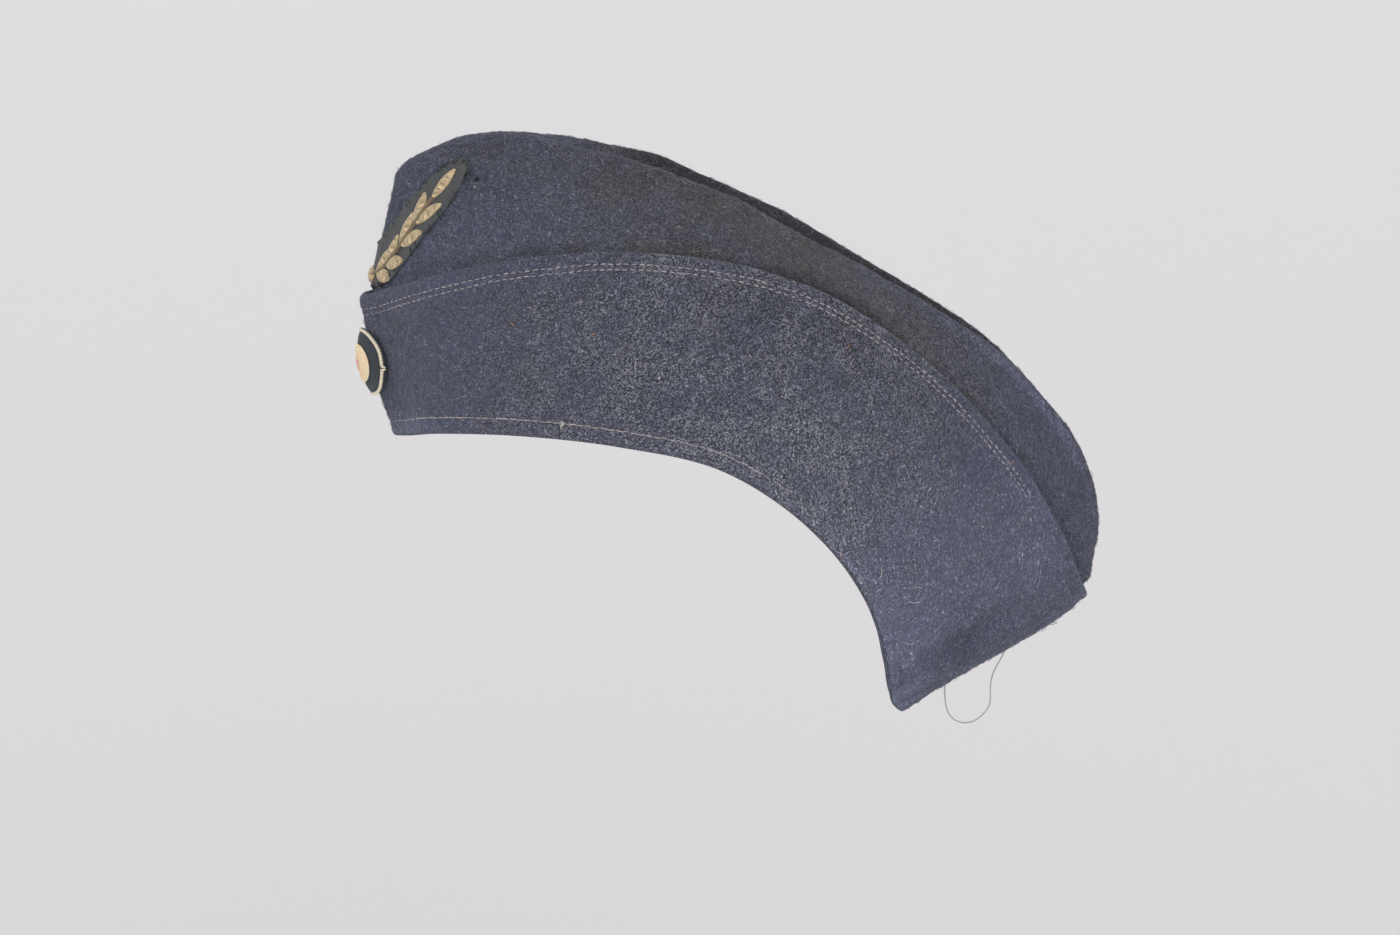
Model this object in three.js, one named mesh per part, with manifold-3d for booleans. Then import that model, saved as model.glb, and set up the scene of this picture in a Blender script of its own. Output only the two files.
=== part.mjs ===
// A soft side cap of wool cloth: two crown panels, a turned-up flap in two halves, a leaf badge and a
// cockade. It keeps the form it has when worn. Millimetres, +Z up.
// Cap frame before the tilt: x across to the wearer's left, y along with the front at -y, z up, and the
// origin midway between the front and the back end of the rim.
import * as THREE from 'three';
import Module from 'manifold-3d';

// Cloth and fit
const WORN_TILT = 28.5; // degrees that the cap leans back
const CROWN_WALL = 2.0;
const FLAP_WALL = 2.6; // two layers of cloth
const PIECE_GAP = 0.3; // clearance between neighbouring pieces
const RIDGE_FOLD = 4.0; // reach of the rounding at the ridge, each way
const FOLD_SHARE = 0.45; // most of the gusset's width that the rounding may take
const CROWN_START = 0.02; // the crown starts this share of the flap's height above the flap's lower fold

// A table with named columns: each row becomes an object.
function table(columns, ...rows) {
  return rows.map((row) => Object.fromEntries(columns.map((name, i) => [name, row[i]])));
}

// Sections of the left half from the front seam to the back seam: [across, along, up] of the crown at its
// rim, at the flap's top edge, on the ridge and in the valley, and how far the flap's top edge stands off.
const SECTIONS = table(
  ['at', 'rim', 'edge', 'ridge', 'valley', 'lift'],
  ['front seam', [0, -102.5, 2.5], [0, -135, 42.5], [0, -149, 85.5], [0, -140.5, 97], 1.6],
  ['nose', [13, -98.5, 6.5], [9, -130.5, 47.5], [4.5, -146.5, 91.5], [0, -137, 101.5], 1.3],
  ['forehead', [38, -90, 16], [25.5, -119.5, 60], [6, -135.5, 105], [0, -130, 109.5], 0.8],
  ['front temple', [54, -65.5, 31], [38, -95.5, 82], [8, -112, 120], [0, -111.5, 120], 0.5],
  ['temple', [59, -34, 44.5], [45, -60, 105], [17, -74, 133], [0, -74, 120.5], 0.4],
  ['middle', [57, 0, 53.5], [44, -13, 121], [21, -28, 137.5], [0, -28, 119.5], 0.4],
  ['over the ear', [47.5, 35.5, 49.5], [35, 36.5, 120.5], [19, 24, 137.5], [0, 24, 120], 0.4],
  ['behind the ear', [28.5, 71.5, 32], [21, 89, 105], [13, 73, 134], [0, 73, 122], 0.4],
  ['pinched back', [10.5, 94, 9], [9.5, 127, 84], [8, 113.5, 117], [0, 113, 115.5], 0.4],
  ['tail', [6, 100.5, 0.5], [6, 138, 74.5], [6, 131.5, 101], [0, 125, 108.5], 0.6],
  ['back seam', [0, 104.5, -1], [0, 142.5, 70], [0, 139.5, 87.5], [0, 130.5, 102], 1],
);

// Dents of the worn cloth, or bulges where the depth is below 0: the half each lies in (1 left, -1 right,
// 0 both), its place along the cap (0 front seam, 1 back seam) and up the wall (0 rim, 1 flap edge, 2 ridge),
// its depth and its reach both ways.
const DENTS = table(
  ['half', 'along', 'level', 'depth', 'reachAlong', 'reachLevel'],
  [0, 0, 0.42, -2.2, 0.12, 0.34],
  [0, 0, 0.54, 1.5, 0.07, 0.16],
  [0, 1, 0.04, -1.1, 0.03, 0.13],
  [0, 1, 1.3, -1.5, 0.04, 0.22],
  [1, 0.84, 0.36, 2.2, 0.022, 0.2],
  [1, 0.88, 0.16, -1.2, 0.03, 0.14],
);

// How finely the curved walls are divided
const COLUMNS_PER_SECTION = 4;
const LOWER_ROWS = 6; // rim to flap edge
const UPPER_ROWS = 5; // flap edge to ridge fold
const FOLD_ROWS = 3;
const GUSSET_ROWS = 3; // ridge fold to valley seam
const FLAP_ROWS = 7;
const NORMAL_STEP = 0.004; // spacing of the points that a normal is measured from

// Badge: distances on the crown's face, across from the front seam and up from the flap's top edge
const BACKING_WALL = 1.0;
const BACKING_COLUMNS = 26;
const BACKING_ROWS = 3;
// Border of the patch: distance from the seam, then its lower and its upper border there.
const BACKING_OUTLINE = table(
  ['across', 'low', 'high'],
  [0, 2.5, 19],
  [8, 3, 24],
  [16, 6, 31],
  [24, 12, 36.5],
  [31, 20, 38],
  [35, 27, 36],
);
const SPRAY_LIFT = 0.45; // height of the embroidery at a leaf's border
const LEAF_DOME = 0.7; // further height along a leaf's middle
const LEAF_LENGTH = 10;
const LEAF_WIDTH = 4.6;
const LEAF_SPREAD = 34; // degrees between a leaf and its stem
const LEAF_PAIRS = 4;
const LEAF_SPANS = 4;
const LEAF_TIP = 0.25; // half width left at a leaf's ends
const LEAF_FULLNESS = 0.8; // below 1 a leaf is fuller than a plain sine
const STEM_SPANS = 8;
const STEM_HALF_WIDTH = 0.8;
const KNOT_LENGTH = 6.5;
const KNOT_WIDTH = 5.5;
// The left stem runs from the knot outwards and up.
const STEM_POINTS = table(['across', 'up'], [0, 7], [9, 9], [19, 17], [25.5, 27]);
const FIRST_LEAF = 0.16; // share of the stem below its first pair of leaves
const LEAF_ROOT = 0.6; // how far a leaf starts back along the stem

// Cockade
const COCKADE_ALONG = 0.015; // a little left of the front seam
const COCKADE_LEVEL = 0.54; // half-way up the flap
const COCKADE_TILT = 3.2; // degrees more upright than the flap
const COCKADE_RADIUS = 12.2;
const COCKADE_EDGE = 0.4; // thickness of the base at its border
const COCKADE_HEIGHT = 4.1; // height of the base's dome
const LEFT_SLOPE = 0.31; // of its left half, which folds back round the cap's nose
const FOLD_ROUNDING = 1.5;
const RIGHT_BEND = 0.05; // of its right half, in 1/mm
const CORD_RADIUS = 11.9; // of the ring that the cord makes
const CORD_THICKNESS = 1.4;
const DISC_RADIUS = 7.3;
const DISC_HEIGHT = 1.0;
const CENTRE_RADIUS = 2.7;
const CENTRE_HEIGHT = 0.6;
const SEAT_END = 0.25; // the cockade lies before this place along the cap
const SEAT_STEPS = 40;
const ROUND_SIDES = 20;
const CORD_SIDES = 6;
const DOME_STEPS = 3;

const WOOL_CROWN = { color: 0x33353f, roughness: 0.95, metalness: 0 };
const WOOL_FLAP = { color: 0x3d404d, roughness: 0.95, metalness: 0 };
const PATCH_CLOTH = { color: 0x474d50, roughness: 0.95, metalness: 0 };
const CREAM_THREAD = { color: 0xc9b48a, roughness: 0.8, metalness: 0 };
const DARK_FELT = { color: 0x1b2029, roughness: 0.95, metalness: 0 };
const CREAM_CORD = { color: 0xd8cdb4, roughness: 0.8, metalness: 0 };
const CREAM_FELT = { color: 0xe0cfa6, roughness: 0.9, metalness: 0 };
const RED_FELT = { color: 0xb04a42, roughness: 0.9, metalness: 0 };

const MIRROR = new THREE.Vector3(-1, 1, 1);
const HALVES = { left: 1, right: -1 };

// A row of the sections as one closed loop round the cap, the right half mirrored from the left.
function closedLoop(row) {
  const left = SECTIONS.map((section) => new THREE.Vector3(...section[row]));
  const right = left.slice(1, -1).reverse().map((point) => point.clone().multiply(MIRROR));
  return new THREE.CatmullRomCurve3([...left, ...right], true);
}

const LOOPS = ['rim', 'edge', 'ridge', 'valley'].map(closedLoop);

// Distance that the flap's top edge stands off the crown, straight between the sections.
function liftAt(along) {
  const place = along * (SECTIONS.length - 1);
  const index = Math.min(Math.floor(place), SECTIONS.length - 2);
  return THREE.MathUtils.lerp(SECTIONS[index].lift, SECTIONS[index + 1].lift, place - index);
}

// The crown's outer line at one place along the cap, as a function of the level: 0 rim, 1 flap edge,
// 2 start of the ridge fold, 3 end of it, 4 valley seam.
function sectionLine(along) {
  const [rim, edge, ridge, valley] = LOOPS.map((loop) => loop.getPoint(along / 2));
  const wall = new THREE.CatmullRomCurve3([rim, edge, ridge]);
  const gussetWidth = ridge.distanceTo(valley);
  const fold = Math.min(RIDGE_FOLD, FOLD_SHARE * gussetWidth);
  const wallEnd = 1 - (0.5 * fold) / edge.distanceTo(ridge);
  const foldStart = wall.getPoint(wallEnd);
  const foldEnd = ridge.clone().lerp(valley, fold / gussetWidth);
  const rounding = new THREE.QuadraticBezierCurve3(foldStart, ridge, foldEnd);
  return (level) => {
    if (level <= 1) return wall.getPoint(level / 2);
    if (level <= 2) return wall.getPoint(THREE.MathUtils.lerp(0.5, wallEnd, level - 1));
    if (level <= 3) return rounding.getPoint(level - 2);
    return foldEnd.clone().lerp(valley, level - 3);
  };
}

// Outward normal of the left half at a place, from neighbouring points mirrored past the seams.
function crownNormal(along, level) {
  const before = sectionLine(Math.abs(along - NORMAL_STEP))(level);
  const after = sectionLine(1 - Math.abs(1 - along - NORMAL_STEP))(level);
  if (along < NORMAL_STEP) before.multiply(MIRROR);
  if (along > 1 - NORMAL_STEP) after.multiply(MIRROR);
  const line = sectionLine(along);
  const under = line(Math.max(level - NORMAL_STEP, 0));
  const over = line(Math.min(level + NORMAL_STEP, 4));
  if (level > 4 - NORMAL_STEP) over.copy(under).multiply(MIRROR);
  return after.sub(before).cross(over.sub(under)).normalize();
}

// Depth of the dents at a place of one half.
function dentDepth(half, along, level) {
  let depth = 0;
  for (const dent of DENTS) {
    if (dent.half !== 0 && dent.half !== half) continue;
    const awayAlong = (along - dent.along) / dent.reachAlong;
    const awayUp = (level - dent.level) / dent.reachLevel;
    depth += dent.depth * Math.exp(-(awayAlong ** 2) - awayUp ** 2);
  }
  return depth;
}

// A point at a height over the crown's face. It stays half a gap clear of the middle plane.
function crownPoint(half, along, level, height) {
  const point = sectionLine(along)(level);
  point.addScaledVector(crownNormal(along, level), height - dentDepth(half, along, level));
  point.x = half * Math.max(point.x, PIECE_GAP / 2);
  return point;
}

function evenSteps(start, end, count) {
  return Array.from({ length: count + 1 }, (_, i) => start + ((end - start) * i) / count);
}

// Closes two grids of points, face and back, into one solid with walls along its four borders.
function shell(face, back) {
  const rows = face.length;
  const columns = face[0].length;
  const positions = [];
  const index = [];
  for (const point of [...face.flat(), ...back.flat()]) {
    positions.push(point.x, point.y, point.z);
  }
  const at = (side, row, column) => side * rows * columns + row * columns + column;
  const quad = (a, b, c, d) => index.push(a, b, c, a, c, d);
  for (let r = 0; r + 1 < rows; r += 1) {
    for (let c = 0; c + 1 < columns; c += 1) {
      quad(at(0, r, c), at(0, r, c + 1), at(0, r + 1, c + 1), at(0, r + 1, c));
      quad(at(1, r, c), at(1, r + 1, c), at(1, r + 1, c + 1), at(1, r, c + 1));
    }
  }
  for (let r = 0; r + 1 < rows; r += 1) {
    quad(at(0, r, 0), at(0, r + 1, 0), at(1, r + 1, 0), at(1, r, 0));
    quad(at(0, r + 1, columns - 1), at(0, r, columns - 1), at(1, r, columns - 1), at(1, r + 1, columns - 1));
  }
  for (let c = 0; c + 1 < columns; c += 1) {
    quad(at(0, 0, c + 1), at(0, 0, c), at(1, 0, c), at(1, 0, c + 1));
    quad(at(0, rows - 1, c), at(0, rows - 1, c + 1), at(1, rows - 1, c + 1), at(1, rows - 1, c));
  }
  return facingOut(new Float32Array(positions), new Uint32Array(index));
}

// A geometry whose faces point out: a mirrored half has a negative volume, and its triangles are turned.
function facingOut(positions, index) {
  const corner = (i) => new THREE.Vector3().fromArray(positions, 3 * index[i]);
  let volume = 0;
  for (let i = 0; i < index.length; i += 3) {
    volume += corner(i).dot(corner(i + 1).cross(corner(i + 2)));
  }
  if (volume < 0) {
    for (let i = 0; i < index.length; i += 3) {
      [index[i + 1], index[i + 2]] = [index[i + 2], index[i + 1]];
    }
  }
  const geometry = new THREE.BufferGeometry();
  geometry.setAttribute('position', new THREE.BufferAttribute(positions, 3));
  geometry.setIndex(new THREE.BufferAttribute(index, 1));
  geometry.computeVertexNormals();
  return geometry;
}

function piece(name, geometry, finish) {
  const mesh = new THREE.Mesh(geometry, new THREE.MeshStandardMaterial(finish));
  mesh.name = name;
  return mesh;
}

const COLUMN_STEPS = evenSteps(0, 1, COLUMNS_PER_SECTION * (SECTIONS.length - 1));

// A crown panel: the wool wall from the rim over the ridge to the valley seam.
function crownPanel(half) {
  const levels = [
    ...evenSteps(CROWN_START, 1, LOWER_ROWS),
    ...evenSteps(1, 2, UPPER_ROWS).slice(1),
    ...evenSteps(2, 3, FOLD_ROWS).slice(1),
    ...evenSteps(3, 4, GUSSET_ROWS).slice(1),
  ];
  const wall = (height) => levels.map((level) => (
    COLUMN_STEPS.map((along) => crownPoint(half, along, level, height))));
  return shell(wall(0), wall(-CROWN_WALL));
}

// Clearance between the flap's back and the crown: a small gap at the rim that opens towards the top edge.
function flapClearance(along, level) {
  return PIECE_GAP + liftAt(along) * level ** 2;
}

// A point on the flap's face.
function flapFace(half, along, level) {
  return crownPoint(half, along, level, flapClearance(along, level) + FLAP_WALL);
}

// Half of the turned-up flap, which follows the crown from the rim to the flap's top edge.
function flapHalf(half) {
  const levels = evenSteps(0, 1, FLAP_ROWS);
  const wall = (thickness) => levels.map((level) => (
    COLUMN_STEPS.map((along) => crownPoint(half, along, level, flapClearance(along, level) + thickness))));
  return shell(wall(FLAP_WALL), wall(0));
}

// Finds the place on a rising list of lengths where a distance falls, between 0 and 1.
function shareAtLength(lengths, distance) {
  const next = Math.max(lengths.findIndex((length) => length >= distance), 1);
  const part = (distance - lengths[next - 1]) / (lengths[next] - lengths[next - 1]);
  return (next - 1 + part) / (lengths.length - 1);
}

function runningLengths(points) {
  const lengths = [0];
  for (let i = 1; i < points.length; i += 1) {
    lengths.push(lengths[i - 1] + points[i].distanceTo(points[i - 1]));
  }
  return lengths;
}

const SEAM_TOP = 2; // level where the badge's measuring line up the front seam ends
const SIDE_END = 0.45; // place along the cap where its measuring lines across end
const MEASURE_STEPS = 60;
const FRONT_SEAM = sectionLine(0);
const SEAM_LENGTHS = runningLengths(evenSteps(1, SEAM_TOP, MEASURE_STEPS).map(FRONT_SEAM));
const SIDE_STEPS = evenSteps(0, SIDE_END, MEASURE_STEPS).map(sectionLine);

// A point over the crown's front, measured on its face across from the seam and up from the flap's edge.
function frontPoint(across, up, height) {
  const level = 1 + (SEAM_TOP - 1) * shareAtLength(SEAM_LENGTHS, up);
  const lengths = runningLengths(SIDE_STEPS.map((line) => line(level)));
  const along = SIDE_END * shareAtLength(lengths, Math.abs(across));
  const point = sectionLine(along)(level).addScaledVector(crownNormal(along, level), height);
  point.x *= across < 0 ? -1 : 1;
  return point;
}

// Patch of cloth under the embroidery, one sheet across the front seam.
function badgeBacking() {
  const right = BACKING_OUTLINE.slice(1).reverse().map((row) => ({ ...row, across: -row.across }));
  const outline = [...right, ...BACKING_OUTLINE];
  const columns = evenSteps(0, outline.length - 1, BACKING_COLUMNS);
  const border = (place, name) => {
    const index = Math.min(Math.floor(place), outline.length - 2);
    return THREE.MathUtils.lerp(outline[index][name], outline[index + 1][name], place - index);
  };
  const sheet = (height) => evenSteps(0, 1, BACKING_ROWS).map((share) => columns.map((place) => {
    const up = THREE.MathUtils.lerp(border(place, 'low'), border(place, 'high'), share);
    return frontPoint(border(place, 'across'), up, height);
  }));
  return shell(sheet(PIECE_GAP + BACKING_WALL), sheet(PIECE_GAP));
}

// One embroidered leaf: its width swells and tapers along its middle line, its face is domed.
function leaf({ across, up, angle, length, width, dome }) {
  const direction = new THREE.Vector2(Math.cos(angle), Math.sin(angle));
  const floor = 2 * PIECE_GAP + BACKING_WALL;
  const sheet = (isFace) => [-1, 0, 1].map((side) => evenSteps(0, 1, LEAF_SPANS).map((share) => {
    const half = LEAF_TIP + (width / 2 - LEAF_TIP) * Math.sin(Math.PI * share) ** LEAF_FULLNESS;
    const x = across + direction.x * share * length - direction.y * side * half;
    const y = up + direction.y * share * length + direction.x * side * half;
    const height = isFace ? SPRAY_LIFT + dome * (1 - Math.abs(side)) * Math.sin(Math.PI * share) : 0;
    return frontPoint(x, y, floor + height);
  }));
  return shell(sheet(true), sheet(false));
}

// A stem: a narrow raised strip along its curve.
function stem(curve, mirror) {
  const floor = 2 * PIECE_GAP + BACKING_WALL;
  const sheet = (height) => [-1, 1].map((side) => evenSteps(0, 1, STEM_SPANS).map((share) => {
    const point = curve.getPoint(share);
    const tangent = curve.getTangent(share);
    const x = point.x - tangent.y * side * STEM_HALF_WIDTH;
    const y = point.y + tangent.x * side * STEM_HALF_WIDTH;
    return frontPoint(mirror * x, y, floor + height);
  }));
  return shell(sheet(SPRAY_LIFT + LEAF_DOME / 2), sheet(0));
}

// The embroidery: two leafy stems that spread from a knot over the front seam, joined into one solid.
async function badgeSpray() {
  const wasm = await Module();
  wasm.setup();
  const solid = (geometry) => new wasm.Manifold(new wasm.Mesh({
    numProp: 3,
    vertProperties: geometry.getAttribute('position').array,
    triVerts: geometry.getIndex().array,
  }));
  const curve = new THREE.SplineCurve(STEM_POINTS.map((point) => new THREE.Vector2(point.across, point.up)));
  const spread = THREE.MathUtils.degToRad(LEAF_SPREAD);
  const knot = { across: 0, up: STEM_POINTS[0].up - KNOT_LENGTH / 2, angle: Math.PI / 2 };
  let spray = solid(leaf({ ...knot, length: KNOT_LENGTH, width: KNOT_WIDTH, dome: 2 * LEAF_DOME }));
  for (const mirror of Object.values(HALVES)) {
    spray = spray.add(solid(stem(curve, mirror)));
    for (const share of evenSteps(FIRST_LEAF, 1, LEAF_PAIRS)) {
      const root = curve.getPoint(share);
      const tangent = curve.getTangent(share);
      const heading = Math.atan2(tangent.y, mirror * tangent.x);
      const turns = share === 1 ? [0] : [-spread, spread];
      for (const turn of turns) {
        spray = spray.add(solid(leaf({
          across: mirror * (root.x - LEAF_ROOT * tangent.x),
          up: root.y - LEAF_ROOT * tangent.y,
          angle: heading + turn,
          length: LEAF_LENGTH,
          width: LEAF_WIDTH,
          dome: LEAF_DOME,
        })));
      }
    }
  }
  const { vertProperties, triVerts } = spray.getMesh();
  return facingOut(new Float32Array(vertProperties), new Uint32Array(triVerts));
}

// A solid of revolution about +Z from its half profile, [radius, height] pairs.
function turned(profile, sides) {
  const points = profile.map(([radius, height]) => new THREE.Vector2(radius, height));
  return new THREE.LatheGeometry(points, sides).rotateX(Math.PI / 2);
}

// Height of a low dome at a share of the way from its border to its axis.
function domeHeight(share, edge, height) {
  return edge + (height - edge) * Math.sin((share * Math.PI) / 2);
}

// Half profile of a low dome on a flat back, from the axis out and back to the axis.
function domeProfile(radius, edge, height) {
  const back = evenSteps(0, 1, DOME_STEPS).map((share) => [radius * share, 0]);
  const face = evenSteps(0, 1, DOME_STEPS).map((share) => [
    radius * (1 - share),
    domeHeight(share, edge, height),
  ]);
  return [...back, ...face];
}

// How far the cockade falls back at a distance across from its axis: its left half slopes off from a
// rounded fold, its right half curves back.
function bendDrop(across) {
  if (across < 0) return RIGHT_BEND * across ** 2;
  return LEFT_SLOPE * (Math.hypot(across, FOLD_ROUNDING) - FOLD_ROUNDING);
}

// Bends a turned piece round the cap's nose.
function bent(geometry) {
  const position = geometry.getAttribute('position');
  for (let i = 0; i < position.count; i += 1) {
    position.setZ(i, position.getZ(i) - bendDrop(position.getX(i)));
  }
  geometry.computeVertexNormals();
  return geometry;
}

// How far the flap's face stands out over a seat, along its normal, anywhere under the bent cockade.
function proudestBy(seat, across, normal) {
  let proudest = 0;
  for (const half of Object.values(HALVES)) {
    for (const along of evenSteps(0, SEAT_END, SEAT_STEPS)) {
      for (const level of evenSteps(0, 1, SEAT_STEPS)) {
        const reach = flapFace(half, along, level).sub(seat);
        const height = reach.dot(normal) + bendDrop(reach.dot(across));
        const sideways = reach.projectOnPlane(normal).length();
        if (sideways < COCKADE_RADIUS) proudest = Math.max(proudest, height);
      }
    }
  }
  return proudest;
}

// The cockade: a domed dark base, a cord ring lying on its border, a cream disc and a red centre, all bent
// alike round the cap's nose.
function cockade() {
  const group = new THREE.Group();
  const base = turned(domeProfile(COCKADE_RADIUS, COCKADE_EDGE, COCKADE_HEIGHT), ROUND_SIDES);
  const shoulder = domeHeight(1 - CORD_RADIUS / COCKADE_RADIUS, COCKADE_EDGE, COCKADE_HEIGHT);
  const cordCentre = shoulder + PIECE_GAP + CORD_THICKNESS / 2;
  const ring = evenSteps(0, 2 * Math.PI, CORD_SIDES).map((turn) => [
    CORD_RADIUS + (CORD_THICKNESS / 2) * Math.cos(turn),
    cordCentre + (CORD_THICKNESS / 2) * Math.sin(turn),
  ]);
  const disc = turned(domeProfile(DISC_RADIUS, DISC_HEIGHT / 2, DISC_HEIGHT), ROUND_SIDES);
  const centre = turned(domeProfile(CENTRE_RADIUS, CENTRE_HEIGHT / 2, CENTRE_HEIGHT), ROUND_SIDES / 2);
  disc.translate(0, 0, COCKADE_HEIGHT + PIECE_GAP);
  centre.translate(0, 0, COCKADE_HEIGHT + DISC_HEIGHT + 2 * PIECE_GAP);
  group.add(piece('cockade_base', bent(base), DARK_FELT));
  group.add(piece('cockade_cord', bent(turned(ring, ROUND_SIDES)), CREAM_CORD));
  group.add(piece('cockade_disc', bent(disc), CREAM_FELT));
  group.add(piece('cockade_centre', bent(centre), RED_FELT));
  const sideways = new THREE.Vector3(1, 0, 0);
  const normal = crownNormal(COCKADE_ALONG, COCKADE_LEVEL);
  normal.applyAxisAngle(sideways, -THREE.MathUtils.degToRad(COCKADE_TILT));
  const across = sideways.clone().projectOnPlane(normal).normalize();
  const up = normal.clone().cross(across);
  const seat = flapFace(HALVES.left, COCKADE_ALONG, COCKADE_LEVEL);
  group.position.copy(seat).addScaledVector(normal, proudestBy(seat, across, normal) + PIECE_GAP);
  group.quaternion.setFromRotationMatrix(new THREE.Matrix4().makeBasis(across, up, normal));
  return group;
}

const cap = new THREE.Group();
for (const [name, half] of Object.entries(HALVES)) {
  cap.add(piece(`crown_${name}`, crownPanel(half), WOOL_CROWN));
  cap.add(piece(`flap_${name}`, flapHalf(half), WOOL_FLAP));
}
cap.add(piece('badge_backing', badgeBacking(), PATCH_CLOTH));
cap.add(piece('badge_spray', await badgeSpray(), CREAM_THREAD));
cap.add(cockade());
cap.rotation.x = -THREE.MathUtils.degToRad(WORN_TILT);

export default cap;
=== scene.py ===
"""Looks of a soft wool side cap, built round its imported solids.

One table of sections gives the cap's form. Crown and flap are faces worked out from it as whole arrays,
and stitches, nap, badge and cockade lie on those faces. The sections are in the cap's own level frame: x
across to the wearer's left, y along with the front at -y, z up. A place on a face is given by along, 0 at
the front and 1 at the back, and level: 0 rim, 1 top edge of the flap, 2 ridge, 3 end of the ridge's fold,
4 valley. Tables of lengths are in millimetres, all other lengths in metres.
"""

import math

import bpy
import numpy as np
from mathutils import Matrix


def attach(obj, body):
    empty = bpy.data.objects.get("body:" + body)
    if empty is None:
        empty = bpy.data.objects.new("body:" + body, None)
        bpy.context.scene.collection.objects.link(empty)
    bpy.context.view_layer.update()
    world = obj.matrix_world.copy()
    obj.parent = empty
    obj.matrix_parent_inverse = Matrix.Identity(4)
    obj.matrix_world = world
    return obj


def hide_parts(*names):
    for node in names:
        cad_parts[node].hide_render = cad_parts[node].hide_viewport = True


bl_info = {
    "name": "Side Cap",
    "version": (1, 0, 0),
    "blender": (4, 5, 0),
    "location": "3D View > Sidebar > Side Cap",
    "description": "Dresses a wool side cap with cloth, stitching, badge, cockade and nap",
    "category": "Mesh",
}

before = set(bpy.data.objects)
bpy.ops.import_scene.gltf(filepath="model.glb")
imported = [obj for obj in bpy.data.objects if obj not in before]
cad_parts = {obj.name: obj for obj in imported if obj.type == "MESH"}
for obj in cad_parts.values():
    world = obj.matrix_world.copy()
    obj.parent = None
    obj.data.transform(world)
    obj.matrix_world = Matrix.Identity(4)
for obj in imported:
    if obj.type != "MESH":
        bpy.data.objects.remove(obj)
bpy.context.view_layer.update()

MM = 0.001
WORN_TILT = math.radians(28.5)
RIDGE_FOLD = 4.0 * MM  # rounding of the ridges
FOLD_SHARE = 0.45  # the most of a gusset that the rounding takes
FLAP_GAP = 0.3 * MM  # between the crown and the flap at the rim
MIRROR = np.array([-1.0, 1.0, 1.0])
HALVES = {"left": 1, "right": -1}

# Sections of the left half: rim, flap edge, ridge and valley of the crown, and the flap's stand-off.
SECTIONS = (
    ("front seam", (0, -102.5, 2.5), (0, -135, 42.5), (0, -149, 85.5), (0, -140.5, 97), 1.6),
    ("nose", (13, -98.5, 6.5), (9, -130.5, 47.5), (4.5, -146.5, 91.5), (0, -137, 101.5), 1.3),
    ("forehead", (38, -90, 16), (25.5, -119.5, 60), (6, -135.5, 105), (0, -130, 109.5), 0.8),
    ("front temple", (54, -65.5, 31), (38, -95.5, 82), (8, -112, 120), (0, -111.5, 120), 0.5),
    ("temple", (59, -34, 44.5), (45, -60, 105), (17, -74, 133), (0, -74, 120.5), 0.4),
    ("middle", (57, 0, 53.5), (44, -13, 121), (21, -28, 137.5), (0, -28, 119.5), 0.4),
    ("over the ear", (47.5, 35.5, 49.5), (35, 36.5, 120.5), (19, 24, 137.5), (0, 24, 120), 0.4),
    ("behind the ear", (28.5, 71.5, 32), (21, 89, 105), (13, 73, 134), (0, 73, 122), 0.4),
    ("pinched back", (10.5, 94, 9), (9.5, 127, 84), (8, 113.5, 117), (0, 113, 115.5), 0.4),
    ("tail", (6, 100.5, 0.5), (6, 138, 74.5), (6, 131.5, 101), (0, 125, 108.5), 0.6),
    ("back seam", (0, 104.5, -1), (0, 142.5, 70), (0, 139.5, 87.5), (0, 130.5, 102), 1),
)
SECTION_PLACES = np.linspace(0, 1, len(SECTIONS))
RIM, EDGE, RIDGE, VALLEY = (MM * np.array([row[k] for row in SECTIONS], float) for k in range(1, 5))
LIFT = MM * np.array([row[5] for row in SECTIONS])

# Dents, or bulges where the depth is below 0: half (1 left, -1 right, 0 both), along (0 front, 1 back),
# level (0 rim, 1 edge, 2 ridge), depth, reach along, reach up the wall.
DENTS = (
    (0, 0.0, 0.42, -2.2, 0.12, 0.34),
    (0, 0.0, 0.54, 1.5, 0.07, 0.16),
    (0, 0.0, 0.95, -1.2, 0.03, 0.10),
    (0, 1.0, 0.04, -1.1, 0.03, 0.13),
    (0, 1.0, 1.3, -1.5, 0.04, 0.22),
    (1, 0.84, 0.36, 2.2, 0.022, 0.2),
    (1, 0.88, 0.16, -1.2, 0.03, 0.14),
)

# Creases: half, along and level at one end, along and level at the other end, depth, half width.
CREASES = (
    (1, 0.815, 0.42, 0.905, 0.33, 0.7, 1.1),
    (1, 0.812, 0.13, 0.850, 0.07, 0.9, 1.0),
    (1, 0.215, 1.66, 0.235, 1.42, 0.6, 1.0),
    (1, 0.241, 1.74, 0.243, 1.74, 0.9, 0.9),
    (1, 0.812, 0.63, 0.900, 0.67, 0.6, 1.0),
    (-1, 0.800, 0.52, 0.900, 0.40, 0.8, 1.6),
    (-1, 0.350, 0.60, 0.430, 0.35, 0.5, 2.2),
)

# Soft waves of worn cloth: wavelength, height, seed. They are lower beside the seams and near the ridges.
WAVES = ((60, 0.45, 3), (24, 0.22, 5), (10, 0.09, 8))
SEAM_CALM, SEAM_CALM_REACH = 0.7, 5 * MM
RIDGE_CALM, RIDGE_CALM_REACH = 0.8, 0.35

# Seams and creases, and the swelling beside them: share of the depth, distance and width. A crease is
# measured on the flattened cloth, and the place of its swelling in its own half widths.
SEAM_WIDTH = 0.9 * MM
SEAM_SWELL, SEAM_SWELL_PLACE, SEAM_SWELL_WIDTH = 0.4, 2.6 * MM, 1.6 * MM
FLAT_CLOTH = np.array([300 * MM, 65 * MM])
CREASE_SWELL, CREASE_SWELL_PLACE = 0.45, 2.2

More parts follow.
